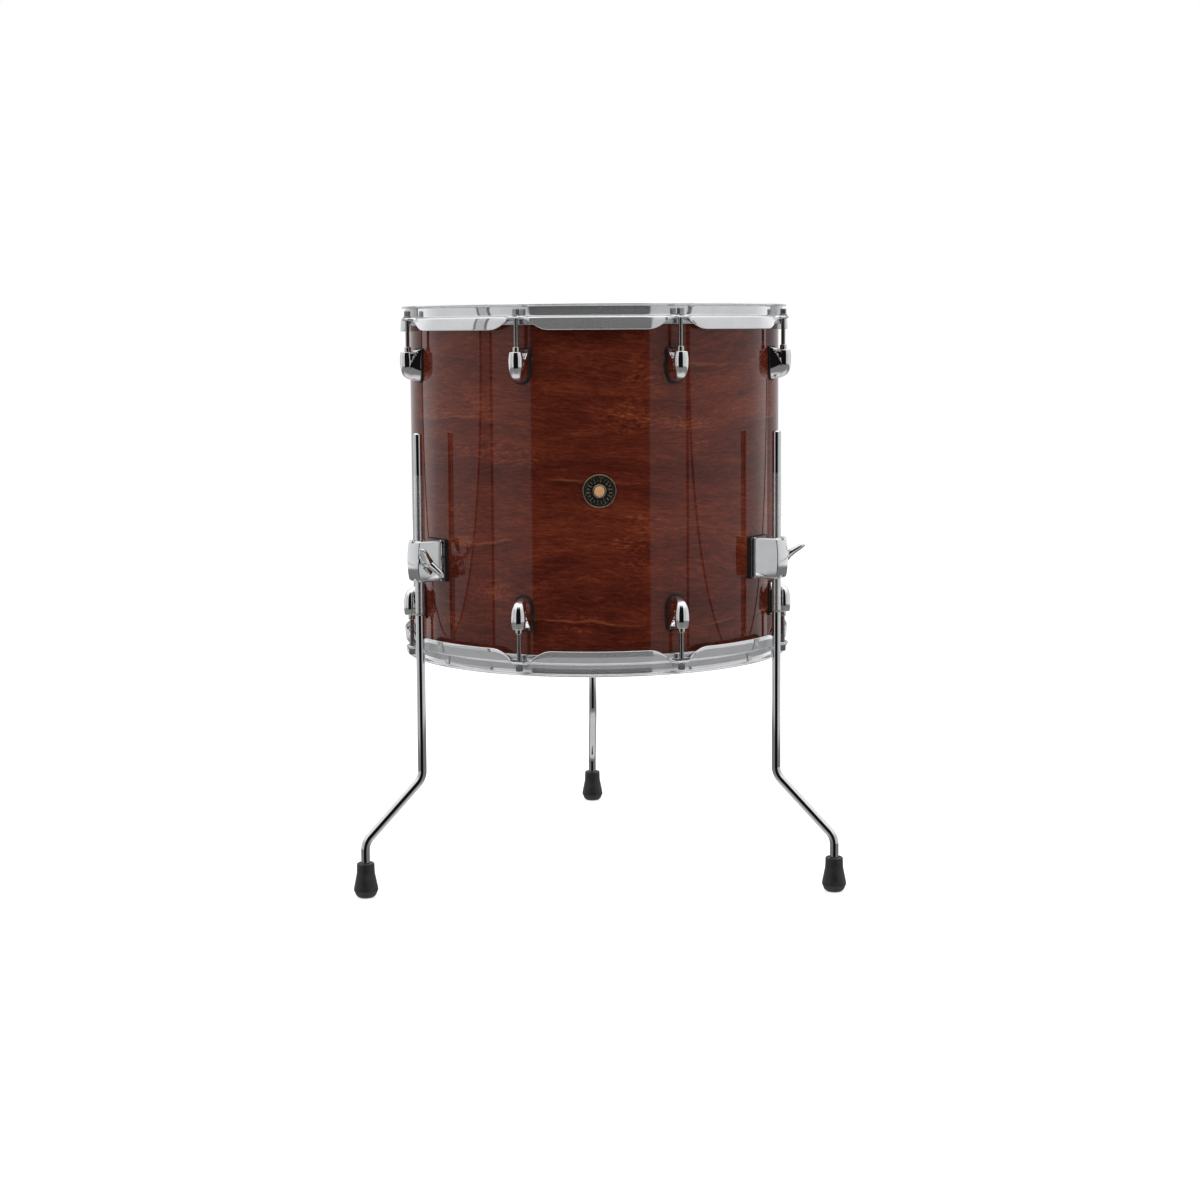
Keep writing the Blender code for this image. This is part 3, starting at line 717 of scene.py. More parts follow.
# ----------------------------------------------------------- badge and vent
def badge_face():
    """The disc with a raised rim and an inner ring, and a plain ornament of
    small raised bars between them."""
    t = 0.9 * MM
    disc = lathe(
        "badge_disc",
        rounded(
            [
                (6.0 * MM, 0.0, 0.0),
                (17.1 * MM, 0.0, 0.2 * MM),
                (17.1 * MM, 0.50 * MM, 0.15 * MM),
                (16.2 * MM, 0.55 * MM, 0.1 * MM),
                (6.0 * MM, 0.55 * MM, 0.0),
            ]
        ),
        96,
    )
    rim = lathe(
        "badge_rim",
        rounded(
            [
                (16.05 * MM, 0.35 * MM, 0.0),
                (17.08 * MM, 0.35 * MM, 0.1 * MM),
                (17.08 * MM, t, 0.28 * MM),
                (16.05 * MM, t, 0.28 * MM),
            ]
        ),
        96,
    )
    bars = []
    for k in range(20):
        a = 360 / 20 * (k + 0.5)
        width, inner_r, outer_r = (0.62, 8.9, 14.0) if k % 2 else (0.50, 9.9, 13.0)
        outline = rounded_box_outline(width * MM, (outer_r - inner_r) / 2 * MM, 0.40 * MM, 4)
        bar = pillow("bar", outline, 0.45 * MM, 0.70 * MM, 0.12 * MM, 3)
        spot = Matrix.Rotation(math.radians(a), 4, "Z") @ Matrix.Translation((0, (inner_r + outer_r) / 2 * MM, 0))
        bar.transform(spot)
        bars.append(bar)
        b = 360 / 20 * k
        dot = pillow("dot", circle(0.42 * MM, 16), 0.45 * MM, 0.68 * MM, 0.12 * MM, 3)
        dot.transform(Matrix.Rotation(math.radians(b), 4, "Z") @ Matrix.Translation((0, 14.3 * MM, 0)))
        bars.append(dot)
    return disc, joined("badge_relief", rim, *bars)


face_on = Matrix.Rotation(PI / 2, 4, "X")
at_badge = Matrix.Translation((AX, AY - R - 0.35 * MM, MID)) @ face_on
disc, relief = badge_face()
for part in (disc, relief):
    part.transform(at_badge)
piece("badge_disc", disc, M["enamel"], "root", ["badge"])
piece("badge_relief", relief, M["brass"], "root")

grommet = lathe(
    "grommet",
    rounded(
        [
            (5.0 * MM, 1.5 * MM, 0.55 * MM),
            (6.9 * MM, 1.5 * MM, 0.85 * MM),
            (6.9 * MM, 0.3 * MM, 0.1 * MM),
            (5.6 * MM, 0.3 * MM, 0.05 * MM),
            (5.6 * MM, -11.0 * MM, 0.1 * MM),
            (5.0 * MM, -11.0 * MM, 0.1 * MM),
        ],
        steps=5,
    ),
    72,
)
grommet.transform(Matrix.Translation((AX, AY - R - 1.25 * MM, MID)) @ face_on)
piece("vent_tube", grommet, M["brass"], "root", ["vent_grommet"])
back_ring = lathe(
    "vent_back",
    rounded([(5.65 * MM, 0.0, 0.1 * MM), (10.0 * MM, 0.0, 0.3 * MM), (10.0 * MM, 0.9 * MM, 0.3 * MM), (5.65 * MM, 0.9 * MM, 0.1 * MM)]),
    56,
)
back_ring.transform(Matrix.Translation((AX, AY - R + PLY + 1.35 * MM, MID)) @ face_on)
piece("vent_inner_washer", back_ring, M["brass"], "root")


# -------------------------------------------------------- heads, flesh hoops
head = lathe(
    "head",
    rounded(
        [
            (0.0, 0.8 * MM, 0.0),
            (201.0 * MM, 0.8 * MM, 2.4 * MM),
            (204.2 * MM, -1.8 * MM, 2.4 * MM),
            (204.2 * MM, -9.0 * MM, 0.15 * MM),
            (203.7 * MM, -9.0 * MM, 0.15 * MM),
            (203.7 * MM, -2.0 * MM, 2.0 * MM),
            (200.9 * MM, 0.3 * MM, 2.0 * MM),
            (0.0, 0.3 * MM, 0.0),
        ],
        closed=False,
        steps=6,
    ),
    256,
)
flesh = lathe(
    "flesh",
    rounded(
        [
            (204.6 * MM, -3.5 * MM, 0.4 * MM),
            (210.3 * MM, -3.5 * MM, 1.3 * MM),
            (210.3 * MM, -9.6 * MM, 0.7 * MM),
            (208.6 * MM, -9.6 * MM, 0.3 * MM),
            (208.0 * MM, -8.6 * MM, 0.3 * MM),
            (206.6 * MM, -8.6 * MM, 0.3 * MM),
            (206.2 * MM, -9.6 * MM, 0.3 * MM),
            (204.6 * MM, -9.6 * MM, 0.4 * MM),
        ]
    ),
    256,
)
turn_over = Matrix.Rotation(PI, 4, "Y")
for side, z, flip in (("batter", TOP, Matrix.Identity(4)), ("resonant", BOTTOM, turn_over)):
    film = M["coated"] if side == "batter" else M["clear"]
    piece(f"{side}_film", moved(head, on_drum(z) @ flip), film, "root", [f"{side}_head"])
    piece(f"{side}_channel", moved(flesh, on_drum(z) @ flip), M["alloy"], "root", [f"{side}_flesh_hoop"])


# -------------------------------------------------------------------- hoops
skirt_at = curve([(0.0, 3.4), (1.7, 3.4), (2.6, 4.3), (3.7, 7.0), (5.0, 10.4), (6.1, 12.6), (7.4, 14.3), (9.0, 15.0), (22.6, 15.0)])


def hoop_mesh():
    up, t = HOOP_UP, 2.0 * MM
    steps = [x * 0.25 for x in range(-22, 23)]
    steps += [s * x for x in (6.0, 6.6, 7.2, 7.8, 8.4, 9.2, 10.5, 12.0, 13.5, 15.0, 16.5, 18.0, 19.5, 21.0) for s in (-1, 1)]
    steps = sorted(steps + [22.5])
    rings = []
    for k in range(LUGS):
        for step in steps:
            off = abs(step)
            bottom = -skirt_at(off) * MM * HOOP_DOWN / (15.0 * MM)
            out = 213.4 * MM + 8.1 * MM * (1 - smoothstep(1.45, 3.9, off))
            ledge = -1.2 * MM
            flare = 1.0 * MM * min(skirt_at(off) / 15.0, 1.0)
            profile = rounded(
                [
                    (211.8 * MM, up, 0.95 * MM),
                    (211.8 * MM, up - t, 0.95 * MM),
                    (207.5 * MM, up - t, 1.2 * MM),
                    (208.1 * MM, ledge, 1.3 * MM),
                    (out - flare, ledge, 2.6 * MM),
                    (out, bottom, 0.85 * MM),
                    (out - 1.7 * MM, bottom, 0.7 * MM),
                    (out - flare - 1.7 * MM, ledge - t, 0.8 * MM),
                    (206.2 * MM, ledge - t, 0.5 * MM),
                    (206.2 * MM, up, 2.0 * MM),
                ],
                steps=4,
            )
            angle = FIRST + k * 360 / LUGS + step
            rings.append([polar(r, angle, z) for r, z in profile])
    body = loft("hoop", rings, closed=True, angle=50.0)
    holes = []
    for k in range(LUGS):
        spot = polar(ROD_R, FIRST + k * 360 / LUGS, -2.3 * MM)
        hole = loft("hole", [[(x, y, z) for x, y in circle(3.0 * MM, 28)] for z in (-4 * MM, 4 * MM)])
        hole.transform(Matrix.Translation(spot))
        holes.append(hole)
    return carve(body, cuts=[joined("holes", *holes)], angle=50.0)


hoop = hoop_mesh()
piece("batter_rim", moved(hoop, on_drum(TOP)), M["hoop"], "batter_hoop", ["batter_hoop"])
piece("resonant_rim", moved(hoop, on_drum(BOTTOM) @ turn_over), M["hoop"], "resonant_hoop", ["resonant_hoop"])


# --------------------------------------------------------------------- lugs
BACK = ROD_R - R                              # from the rod's axis in to the shell
lug_front = curve([(0, 20.9), (0.15, 21.45), (0.34, 21.8), (0.515, 21.5), (0.69, 20.4), (0.784, 19.0), (0.842, 17.3), (0.90, 14.1), (0.947, 9.9), (0.982, 5.4), (1, 1.9)])
lug_half = curve([(0, 6.8), (0.12, 7.3), (0.35, 7.9), (0.50, 7.7), (0.60, 7.2), (0.70, 6.5), (0.80, 5.6), (0.88, 4.6), (0.94, 3.6), (0.98, 2.4), (1.0, 1.1)])
plate_half = curve([(0, 9.3), (0.3, 9.6), (0.55, 9.5), (0.70, 9.0), (0.80, 8.2), (0.88, 7.0), (0.94, 5.5), (0.975, 3.9), (1.0, 1.5)])
# the gasket's half width, about 1.3 mm beyond the plate's: a real gasket whose black rim is widened to stand in as
# painted shadow beside the plate
pad_and_shade_half = curve([(0, 10.6), (0.3, 10.9), (0.55, 10.8), (0.70, 10.3), (0.80, 9.5), (0.88, 8.3), (0.94, 6.8), (0.975, 5.2), (1.0, 2.8)])


def lug_section(t, pocket):
    """Half of the lug's section at t from its rod end to its nose: (x, height
    above the shell) from the back outwards.  pocket is how far the side scoop
    is open, from 0 to 1."""
    f, w, base = lug_front(t), lug_half(t), plate_half(t)
    lift = 0.55                                # the gasket's room behind the plate
    sag = (R / MM) - math.sqrt((R / MM) ** 2 - base**2)
    foot = min(lift - sag * 0.9, f * 0.4)
    arc = min(w * 1.02, f * 0.72)
    rear = f - arc                             # where the barrel's round front starts
    rim = lerp(4.2, 15.6, min(t / 0.60, 1.0))  # the scoop's lower lip
    rim = min(rim, rear - 0.2) if t < 0.6 else rear - 0.1
    rim = max(rim, foot + 0.5)

    def skin_at(d):
        s = min(max((d - foot) / max(rear - foot, 0.1), 0.0), 1.0)
        return lerp(base, w, s * s * (3 - 2 * s) * 0.55 + s * 0.45)

    pts = [(base * 0.5, lift), (base - 0.7, foot), (base - 0.15, foot + 0.18), (base, foot + 0.6)]
    for i in range(1, 7):
        d = lerp(foot + 0.6, rim, i / 6)
        pts.append((skin_at(d), d))
    web = 2.3
    for i in range(1, 10):
        d = lerp(rim, rear, i / 10)
        full = skin_at(d)
        s = i / 10
        deep = min(s / 0.22, (1 - s) / 0.22, 1.0)
        deep = math.sin(deep * PI / 2) ** 0.7 if deep > 0 else 0.0
        room = min((rear - rim) / 3.2, 1.0)
        x = lerp(full, max(web, full - 3.6), deep * pocket * max(room, 0.0))
        pts.append((x, d))
    for i in range(0, 15):
        a = PI / 2 * i / 14
        pts.append((w * math.cos(a) ** 0.92, rear + arc * math.sin(a) ** 0.97))
    return pts


def lug_mesh():
    near, far = -34.3, -68.7
    rings = []
    stations = [0.0, 0.004, 0.012, 0.024, 0.04, 0.052, 0.062, 0.075, 0.09]
    stations += [0.09 + 0.52 * i / 18 for i in range(1, 19)]
    stations += [0.61 + 0.27 * i / 10 for i in range(1, 11)]
    stations += [0.88 + 0.12 * math.sin(PI / 2 * i / 14) for i in range(1, 15)]
    for t in stations:
        pocket = smoothstep(0.034, 0.066, t) * (1 - smoothstep(0.50, 0.60, t))
        shrink = 0.55 * (1 - math.sqrt(max(0.0, 1 - (1 - min(t / 0.016, 1.0)) ** 2)))
        half = []
        for x, d in lug_section(t, pocket):
            x = max(x - shrink, 0.0) if d > 1.2 else max(x - shrink * 0.7, 0.0)
            dd = d - shrink if d > 12 else d
            z = lerp(near, far, t)
            # the rod end slopes from the plate down to the barrel's flat top
            z -= 2.7 * smoothstep(2.0, 9.0, d) * (1 - smoothstep(0.0, 0.30, t))
            half.append((x, dd, z))
        ring = half + [(-x, d, z) for x, d, z in reversed(half[:-1])]
        rings.append([Vector((x * MM, BACK - d * MM, z * MM)) for x, d, z in ring])
    body = loft("lug", rings, angle=52.0)
    bore = loft("bore", [[(x, y, z) for x, y in circle(3.75 * MM, 32)] for z in (-45 * MM, -30 * MM)])
    return carve(body, cuts=[bore], angle=52.0)


def lug_gasket_and_shade_mesh():
    """A thin black gasket that hugs the shell under the plate, wider and thicker than the plate's rim, so that its
    black edge is part real gasket and part painted shadow and dark reflection beside the plate.
    """
    outline = []
    for i in range(41):
        t = i / 40
        outline.append((pad_and_shade_half(t), lerp(-33.0, -69.9, t)))
    outline[0] = (outline[0][0] - 1.4, outline[0][1])
    full = outline + [(-x, z) for x, z in reversed(outline)]
    verts, faces, m = [], [], len(full)
    for depth in (0.02, 1.7):
        for x, z in full:
            sag = (R / MM) - math.sqrt((R / MM) ** 2 - x**2)
            verts.append(Vector((x * MM, BACK - (depth - sag) * MM, z * MM)))
    for i in range(m):
        faces.append((i, (i + 1) % m, m + (i + 1) % m, m + i))
    half_m = m // 2
    for base in (0, m):
        for i in range(half_m - 1):
            j = m - 1 - i
            faces.append((base + i, base + i + 1, base + j - 1, base + j))
    return solid("lug_gasket", verts, faces)


def screw_mesh():
    """A truss-head cross-slot screw with its washer, its head towards +Y."""
    washer = lathe("w", rounded([(2.2, 0, 0.1), (6.0, 0, 0.25), (6.0, 1.0, 0.25), (2.2, 1.0, 0.1)]), 40)
    head_ = lathe("h", [(0, 0.9), (4.3, 0.9), (4.4, 1.3), (4.1, 2.0), (3.4, 2.7), (2.3, 3.15), (1.1, 3.35), (0, 3.4)], 40)
    slots = [
        pillow("s", rounded_box_outline(2.2, 0.45, 0.15, 2), 2.3, 5.0, 0.05, 2),
        pillow("s", rounded_box_outline(0.45, 2.2, 0.15, 2), 2.3, 5.0, 0.05, 2),
    ]
    head_ = carve(head_, cuts=slots)
    shank = lathe("k", [(0, 1.2), (2.0, 1.2), (2.0, -8.0), (0, -8.0)], 24)
    out = joined("screw", washer, head_, shank)
    out.transform(Matrix.Rotation(-PI / 2, 4, "X") @ Matrix.Scale(MM, 4))
    return out


def collar_mesh():
    """The visible end of the swivel nut, round the rod."""
    return lathe(
        "collar",
        rounded(
            [
                (2.55 * MM, -31.9 * MM, 0.25 * MM),
                (3.55 * MM, -31.9 * MM, 0.5 * MM),
                (3.55 * MM, -34.0 * MM, 0.0),
                (3.55 * MM, -44.0 * MM, 0.1 * MM),
                (2.55 * MM, -44.0 * MM, 0.1 * MM),
            ]
        ),
        40,
    )


def rod_mesh():
    """The tension rod with its flange, square head and threaded end."""
    sides, rings = 40, []

    def ring(radius, z):
        return [(radius * math.sin(2 * PI * i / sides), radius * math.cos(2 * PI * i / sides), z) for i in range(sides)]

    def square(half_, z, corner):
        out = []
        for i in range(sides):
            a = 2 * PI * i / sides
            s, c = math.sin(a), math.cos(a)
            p = 9.0
            reach = half_ / (abs(s) ** p + abs(c) ** p) ** (1 / p)
            reach = min(reach, half_ * corner)
            out.append((reach * s, reach * c, z))
        return out

    rings.append(ring(1.5 * MM, -57.8 * MM))
    for i in range(34):
        z = -57.2 + i * 0.53
        rings.append(ring((2.20 if i % 2 else 1.90) * MM, z * MM))
    for z in (-38.6, -30.0, -20.0, -10.0, -0.5):
        rings.append(ring(2.20 * MM, z * MM))
    for r, z in ((2.6, -0.15), (3.7, -0.15), (4.0, 0.0), (4.1, 0.2), (4.0, 0.42), (3.6, 0.62)):
        rings.append(ring(r * MM, z * MM))
    rings.append(square(2.95 * MM, 0.75 * MM, 1.30))
    rings.append(square(2.85 * MM, 1.0 * MM, 1.30))
    rings.append(square(2.85 * MM, 5.7 * MM, 1.30))
    rings.append(square(2.75 * MM, 6.1 * MM, 1.24))
    rings.append(square(2.45 * MM, 6.4 * MM, 1.16))
    rings.append(square(1.9 * MM, 6.6 * MM, 1.08))
    return loft("rod", rings, angle=36.0)


washer = lathe(
    "rod_washer",
    rounded([(2.7 * MM, -1.18 * MM, 0.1 * MM), (4.6 * MM, -1.18 * MM, 0.25 * MM), (4.6 * MM, -0.2 * MM, 0.3 * MM), (2.7 * MM, -0.2 * MM, 0.1 * MM)]),
    40,
)
# pad is the lug gasket, its widened black rim partly painted shadow round the plate
lug, pad, screw, collar, rod = lug_mesh(), lug_gasket_and_shade_mesh(), screw_mesh(), collar_mesh(), rod_mesh()
inside = R - PLY
for side, z, over in (("batter", TOP, False), ("resonant", BOTTOM, True)):
    sign = 1.0 if over else -1.0
    for k in range(LUGS):
        degrees, number = FIRST + k * 360 / LUGS, k + 1
        place = on_ring(ROD_R, degrees, z, over)
        piece(f"{side}_lug_casting_{number}", moved(lug, place), M["cast"], "root", [f"{side}_lug_{number}"])
        # the gasket: part real black rubber, part painted shadow round the plate's edge
        piece(f"{side}_lug_pad_and_shade_{number}", moved(pad, place), M["gasket"], "root")
        piece(f"{side}_swivel_nut_{number}", moved(collar, place), M["nut"], "root")
        piece(f"{side}_rod_washer_{number}", moved(washer, place), M["steel"], f"{side}_hoop")
        piece(
            f"{side}_rod_{number}_drumkey", moved(rod, place), M["rod"],
            f"{side}_rod_{number}", [f"{side}_tension_rod_{number}"],
        )
        pair = [
            moved(screw, on_ring(inside, degrees, z + sign * depth * MM))
            for depth in (41.0, 62.0)
        ]
        piece(f"{side}_lug_screws_{number}", joined("pair", *pair), M["steel"], "root")


# ----------------------------------------------------- legs, brackets, feet
def filleted(corners, radius, steps):
    path = [Vector(corners[0])]
    for before, at, after in zip(corners, corners[1:], corners[2:]):
        before, at, after = Vector(before), Vector(at), Vector(after)
        into, out = (at - before).normalized(), (after - at).normalized()
        turn = into.angle(out)
        length = radius * math.tan(turn / 2)
        centre = at + (out - into).normalized() * radius / math.cos(turn / 2)
        axis = into.cross(out).normalized()
        start = at - into * length - centre
        for i in range(steps + 1):
            path.append(centre + Matrix.Rotation(turn * i / steps, 3, axis) @ start)
    path.append(Vector(corners[-1]))
    return path


def leg_mesh():
    """The bent rod about the axis of its upright part, leaning out along -Y."""
    out, radius, sides = LEG_REACH, LEG_D / 2, 64
    low = 300.0 * MM
    path = filleted([(0, 0, KNURL[0]), (0, 0, LEG_KNEE), (0, -out, LEG_ANKLE), (0, -out, 8.0 * MM)], LEG_BEND, 14)
    side = Vector((1, 0, 0))
    rings = []

    def ring(point, ahead, r):
        up = ahead.normalized().cross(side)
        return [point + side * (r * math.sin(2 * PI * i / sides)) + up * (r * math.cos(2 * PI * i / sides)) for i in range(sides)]

    down = Vector((0, 0, -1))
    for dz, r in ((0.0, 3.3), (0.15, 3.62), (1.1, 4.55), (1.5, 4.72), (2.2, 4.75)):
        rings.append(ring(Vector((0, 0, LEG_TOP - dz * MM)), down, r * MM))
    rings.append(ring(Vector((0, 0, KNURL[1] + 1.0 * MM)), down, radius))
    rings.append(ring(Vector((0, 0, KNURL[1] + 0.15 * MM)), down, radius * 0.985))
    # crossed ridges
    rows = int((KNURL[1] - KNURL[0]) / (0.72 * MM))
    for j in range(rows + 1):
        z = lerp(KNURL[1], KNURL[0], j / rows)
        fade = min(j / 3, (rows - j) / 3, 1.0)
        row = []
        for i in range(sides):
            a = 2 * PI * i / sides
            peak = 1.0 if (i + j) % 2 == 0 else 0.0
            r = radius + lerp(0.0, lerp(0.0, 0.20, peak), fade) * MM
            row.append(Vector((r * math.sin(a), r * math.cos(a), z)))
        rings.append(row)
    rings.append(ring(Vector((0, 0, KNURL[0] - 0.15 * MM)), down, radius * 0.985))
    rings.append(ring(Vector((0, 0, KNURL[0] - 1.0 * MM)), down, radius))
    for i in range(1, len(path)):
        point = path[i]
        ahead = path[min(i + 1, len(path) - 1)] - path[i - 1]
        rings.append(ring(point, ahead, radius))
    # match the seam: every ring starts at the same side
    fixed = []
    for r in rings:
        first = min(range(sides), key=lambda i: (r[i] - r[0]).length)
        fixed.append(r[first:] + r[:first])
    return rings


def leg_parts():
    rings = leg_mesh()
    sides = 64
    # the rings drawn as rows (sin, cos) and those from ring() differ in turning
    # direction, so each is sorted by its angle about the rod
    out = []
    for r in rings:
        c = sum(r, Vector()) / sides
        start = max(range(sides), key=lambda i: (r[i] - c).x)
        rr = r[start:] + r[:start]
        # the same way round: the next point lies to -Y or up
        d = rr[sides // 4] - c
        key = -d.y + d.z * 0.3
        if key < 0:
            rr = [rr[0]] + rr[1:][::-1]
        out.append(rr)
    return out


def leg_solid():
    rings = leg_parts()
    mesh = loft("leg", rings, angle=70.0)
    for face in mesh.polygons:
        z = face.center.z
        face.material_index = 1 if KNURL[0] - 0.1 * MM < z < KNURL[1] + 0.1 * MM and abs(face.center.y) < 8 * MM else 0
    return mesh


def foot_mesh():
    rod_r = LEG_D / 2 + 0.05 * MM
    profile = rounded(
        [
            (0.0, 0.6 * MM, 0.0),
            (5.0 * MM, 0.6 * MM, 0.5 * MM),
            (6.6 * MM, 0.0, 0.5 * MM),
            (8.4 * MM, 0.0, 1.2 * MM),
            (10.6 * MM, 2.2 * MM, 2.5 * MM),
            (FOOT_FLARE - 0.1 * MM, 7.6 * MM, 0.9 * MM),
            (FOOT_FLARE - 0.35 * MM, 10.2 * MM, 2.0 * MM),
            (9.55 * MM, 25.8 * MM, 7.0 * MM),
            (9.25 * MM, FOOT_H, 1.5 * MM),
            (7.0 * MM, FOOT_H - 0.2 * MM, 0.6 * MM),
            (6.4 * MM, FOOT_H - 0.9 * MM, 0.5 * MM),
            (rod_r, FOOT_H - 0.9 * MM, 0.3 * MM),
            (rod_r, 7.5 * MM, 0.2 * MM),
            (0.0, 7.5 * MM, 0.0),
        ],
        closed=False,
        steps=5,
    )
    return lathe("foot", profile, 96, angle=45.0)


def shell_arc(radius, x):
    """Y of a point at x on a circle round the drum, in the leg's own frame."""
    return LEG_R - math.sqrt(radius**2 - x**2)


def bracket_gasket_mesh():
    half_w, half_h, rings = 19.5 * MM, (BRACKET_H + 1.2 * MM) / 2, []
    n = 40
    for i in range(n + 1):
        x = lerp(-half_w, half_w, i / n)
        edge = half_w - abs(x)
        r = 2.6 * MM
        drop = r - math.sqrt(max(r**2 - max(r - edge, 0.0) ** 2, 0.0)) if edge < r else 0.0
        h = half_h - drop
        inner, outer = shell_arc(203.3 * MM, x), shell_arc(206.1 * MM, x)
        rings.append([(x, inner, -h), (x, outer, -h + 0.1 * MM), (x, outer, h - 0.1 * MM), (x, inner, h)])
    return loft("bracket_gasket", rings)


def bracket_mesh():
    """Flange, box and boss as one casting, bored for the leg and the bolt."""
    half_w, half_h = 19.1, BRACKET_H / MM / 2
    side, back_r, flange_r = 11.8, 206.2, 208.3
    rings = []
    levels = [0.0, 0.12, 0.45, 1.0, 1.8, 2.8, 4.0, 5.6, 8.0, 11.0, 14.5, 18.0]
    levels = [-half_h + v for v in levels] + [0.0] + [half_h - v for v in reversed(levels)]
    for z in levels:
        end = half_h - abs(z)                   # distance from the nearer end
        # the ends' rounding, for the flange and for the box
        r = 0.8
        fl = r - math.sqrt(max(r**2 - (r - min(end, r)) ** 2, 0.0))
        corner = 2.4
        wide = half_w - (corner - math.sqrt(max(corner**2 - (corner - min(end, corner)) ** 2, 0.0)))
        rb = 2.6
        bx = rb - math.sqrt(max(rb**2 - (rb - min(end, rb)) ** 2, 0.0))
        arch = 2.2 * (abs(z) / half_h) ** 2.2    # the outer face bows outwards
        front = 234.7 - arch - bx * 0.7
        s = side - bx * 0.5 - 0.3 * (abs(z) / half_h) ** 3
        base = s + 2.2                          # the box widens towards the flange
        half = []
        for i in range(9):
            x = wide * i / 8
            half.append((x, back_r))
        half.append((wide, back_r + 0.5))
        half.append((wide - fl * 0.3, flange_r - 0.6))
        half.append((wide - 0.2 - fl * 0.3, flange_r - 0.2 - fl * 0.5))
        half.append((wide - 0.6 - fl * 0.3, flange_r - fl * 0.6))
        fr = 1.3                                # fillet between flange and box
        for i in range(1, 6):
            x = lerp(wide - 0.6, base + fr + 0.3, i / 5)
            half.append((x, flange_r - fl * 0.6))
        for i in range(1, 9):
            a = PI / 2 * i / 8
            half.append((base + fr * (1 - math.sin(a)), flange_r - fl * 0.6 + fr * (1 - math.cos(a))))
        rc = 1.1
        for i in range(1, 7):
            half.append((lerp(base, s, i / 6), lerp(flange_r + fr, front - rc, i / 6)))
        for i in range(1, 9):
            a = PI / 2 * i / 8
            half.append((s - rc * (1 - math.cos(a)), front - rc + rc * math.sin(a)))
        for i in range(1, 6):
            x = lerp(s - rc, 0.0, i / 5)
            half.append((x, front + 0.25 * (1 - (x / s) ** 2)))

        def to_local(x, radius):
            # radii are the drum's: the flange follows its curve, and the box
            # is square to it
            if radius <= flange_r + 0.01:
                return Vector((x * MM, LEG_R - math.sqrt((radius * MM) ** 2 - (x * MM) ** 2), z * MM))
            sag = flange_r - math.sqrt(flange_r**2 - min(abs(x), 16.0) ** 2)
            fade = max(0.0, 1 - (radius - flange_r) / 2.5)
            return Vector((x * MM, LEG_R - (radius - sag * fade) * MM, z * MM))

        ring = [to_local(x, r_) for x, r_ in half]
        ring += [to_local(-x, r_) for x, r_ in reversed(half[:-1])][:-1]
        rings.append(ring)
    body = loft("bracket", rings, angle=40.0)
    sideways = Matrix.Translation((0, LEG_R - BOLT_R, 0)) @ Matrix.Rotation(PI / 2, 4, "Y")
    boss = lathe(
        "boss",
        rounded([(0.0, 7.0, 0), (7.2, 7.0, 0), (7.2, 12.4, 0.2), (6.4, 13.1, 0.5), (5.6, 13.5, 0.3), (5.6, 14.4, 0.4), (0.0, 14.4, 0.0)], closed=False),
        56,
    )
    boss.transform(sideways @ Matrix.Scale(MM, 4))
    bore = loft("leg_bore", [[(x, y, z) for x, y in circle(5.15 * MM, 48)] for z in (-40 * MM, 40 * MM)])
    sink = [
        lathe("sink", [(0.0, s * 30.0), (7.2, s * 30.0), (5.4, s * (half_h - 1.1)), (5.0, s * (half_h - 1.6)), (0.0, s * (half_h - 1.6))], 48)
        for s in (-1, 1)
    ]
    for m_ in sink:
        m_.transform(Matrix.Scale(MM, 4))
    bolt = lathe("bolt_bore", [(0.0, 1.0), (3.3, 1.0), (3.3, 30.0), (0.0, 30.0)], 32)
    bolt.transform(sideways @ Matrix.Scale(MM, 4))
    # a slot in the outer face, at its top and its bottom
    notches = []
    for s in (-1, 1):
        outline = rounded_box_outline(4.2 * MM, 1.5 * MM, 0.9 * MM, 4)
        notch = pillow("notch", outline, -6.0 * MM, 3.4 * MM, 0.3 * MM, 2)
        notch.transform(
            Matrix.Translation((0, LEG_R - 233.4 * MM, s * (half_h + 0.2) * MM))
            @ (Matrix.Identity(4) if s < 0 else Matrix.Rotation(PI, 4, "X"))
        )
        notches.append(notch)
    casting = carve(body, unions=[boss], cuts=[bore, *sink, bolt, *notches], angle=40.0)
    # the flange gets a dark chrome tint, a painted dark reflection: nothing bright stands opposite it
    for face in casting.polygons:
        spots = [casting.vertices[v].co for v in face.vertices]
        if max(math.hypot(c.x, LEG_R - c.y) for c in spots) < (flange_r + 0.15) * MM:
            face.material_index = 1
    return casting


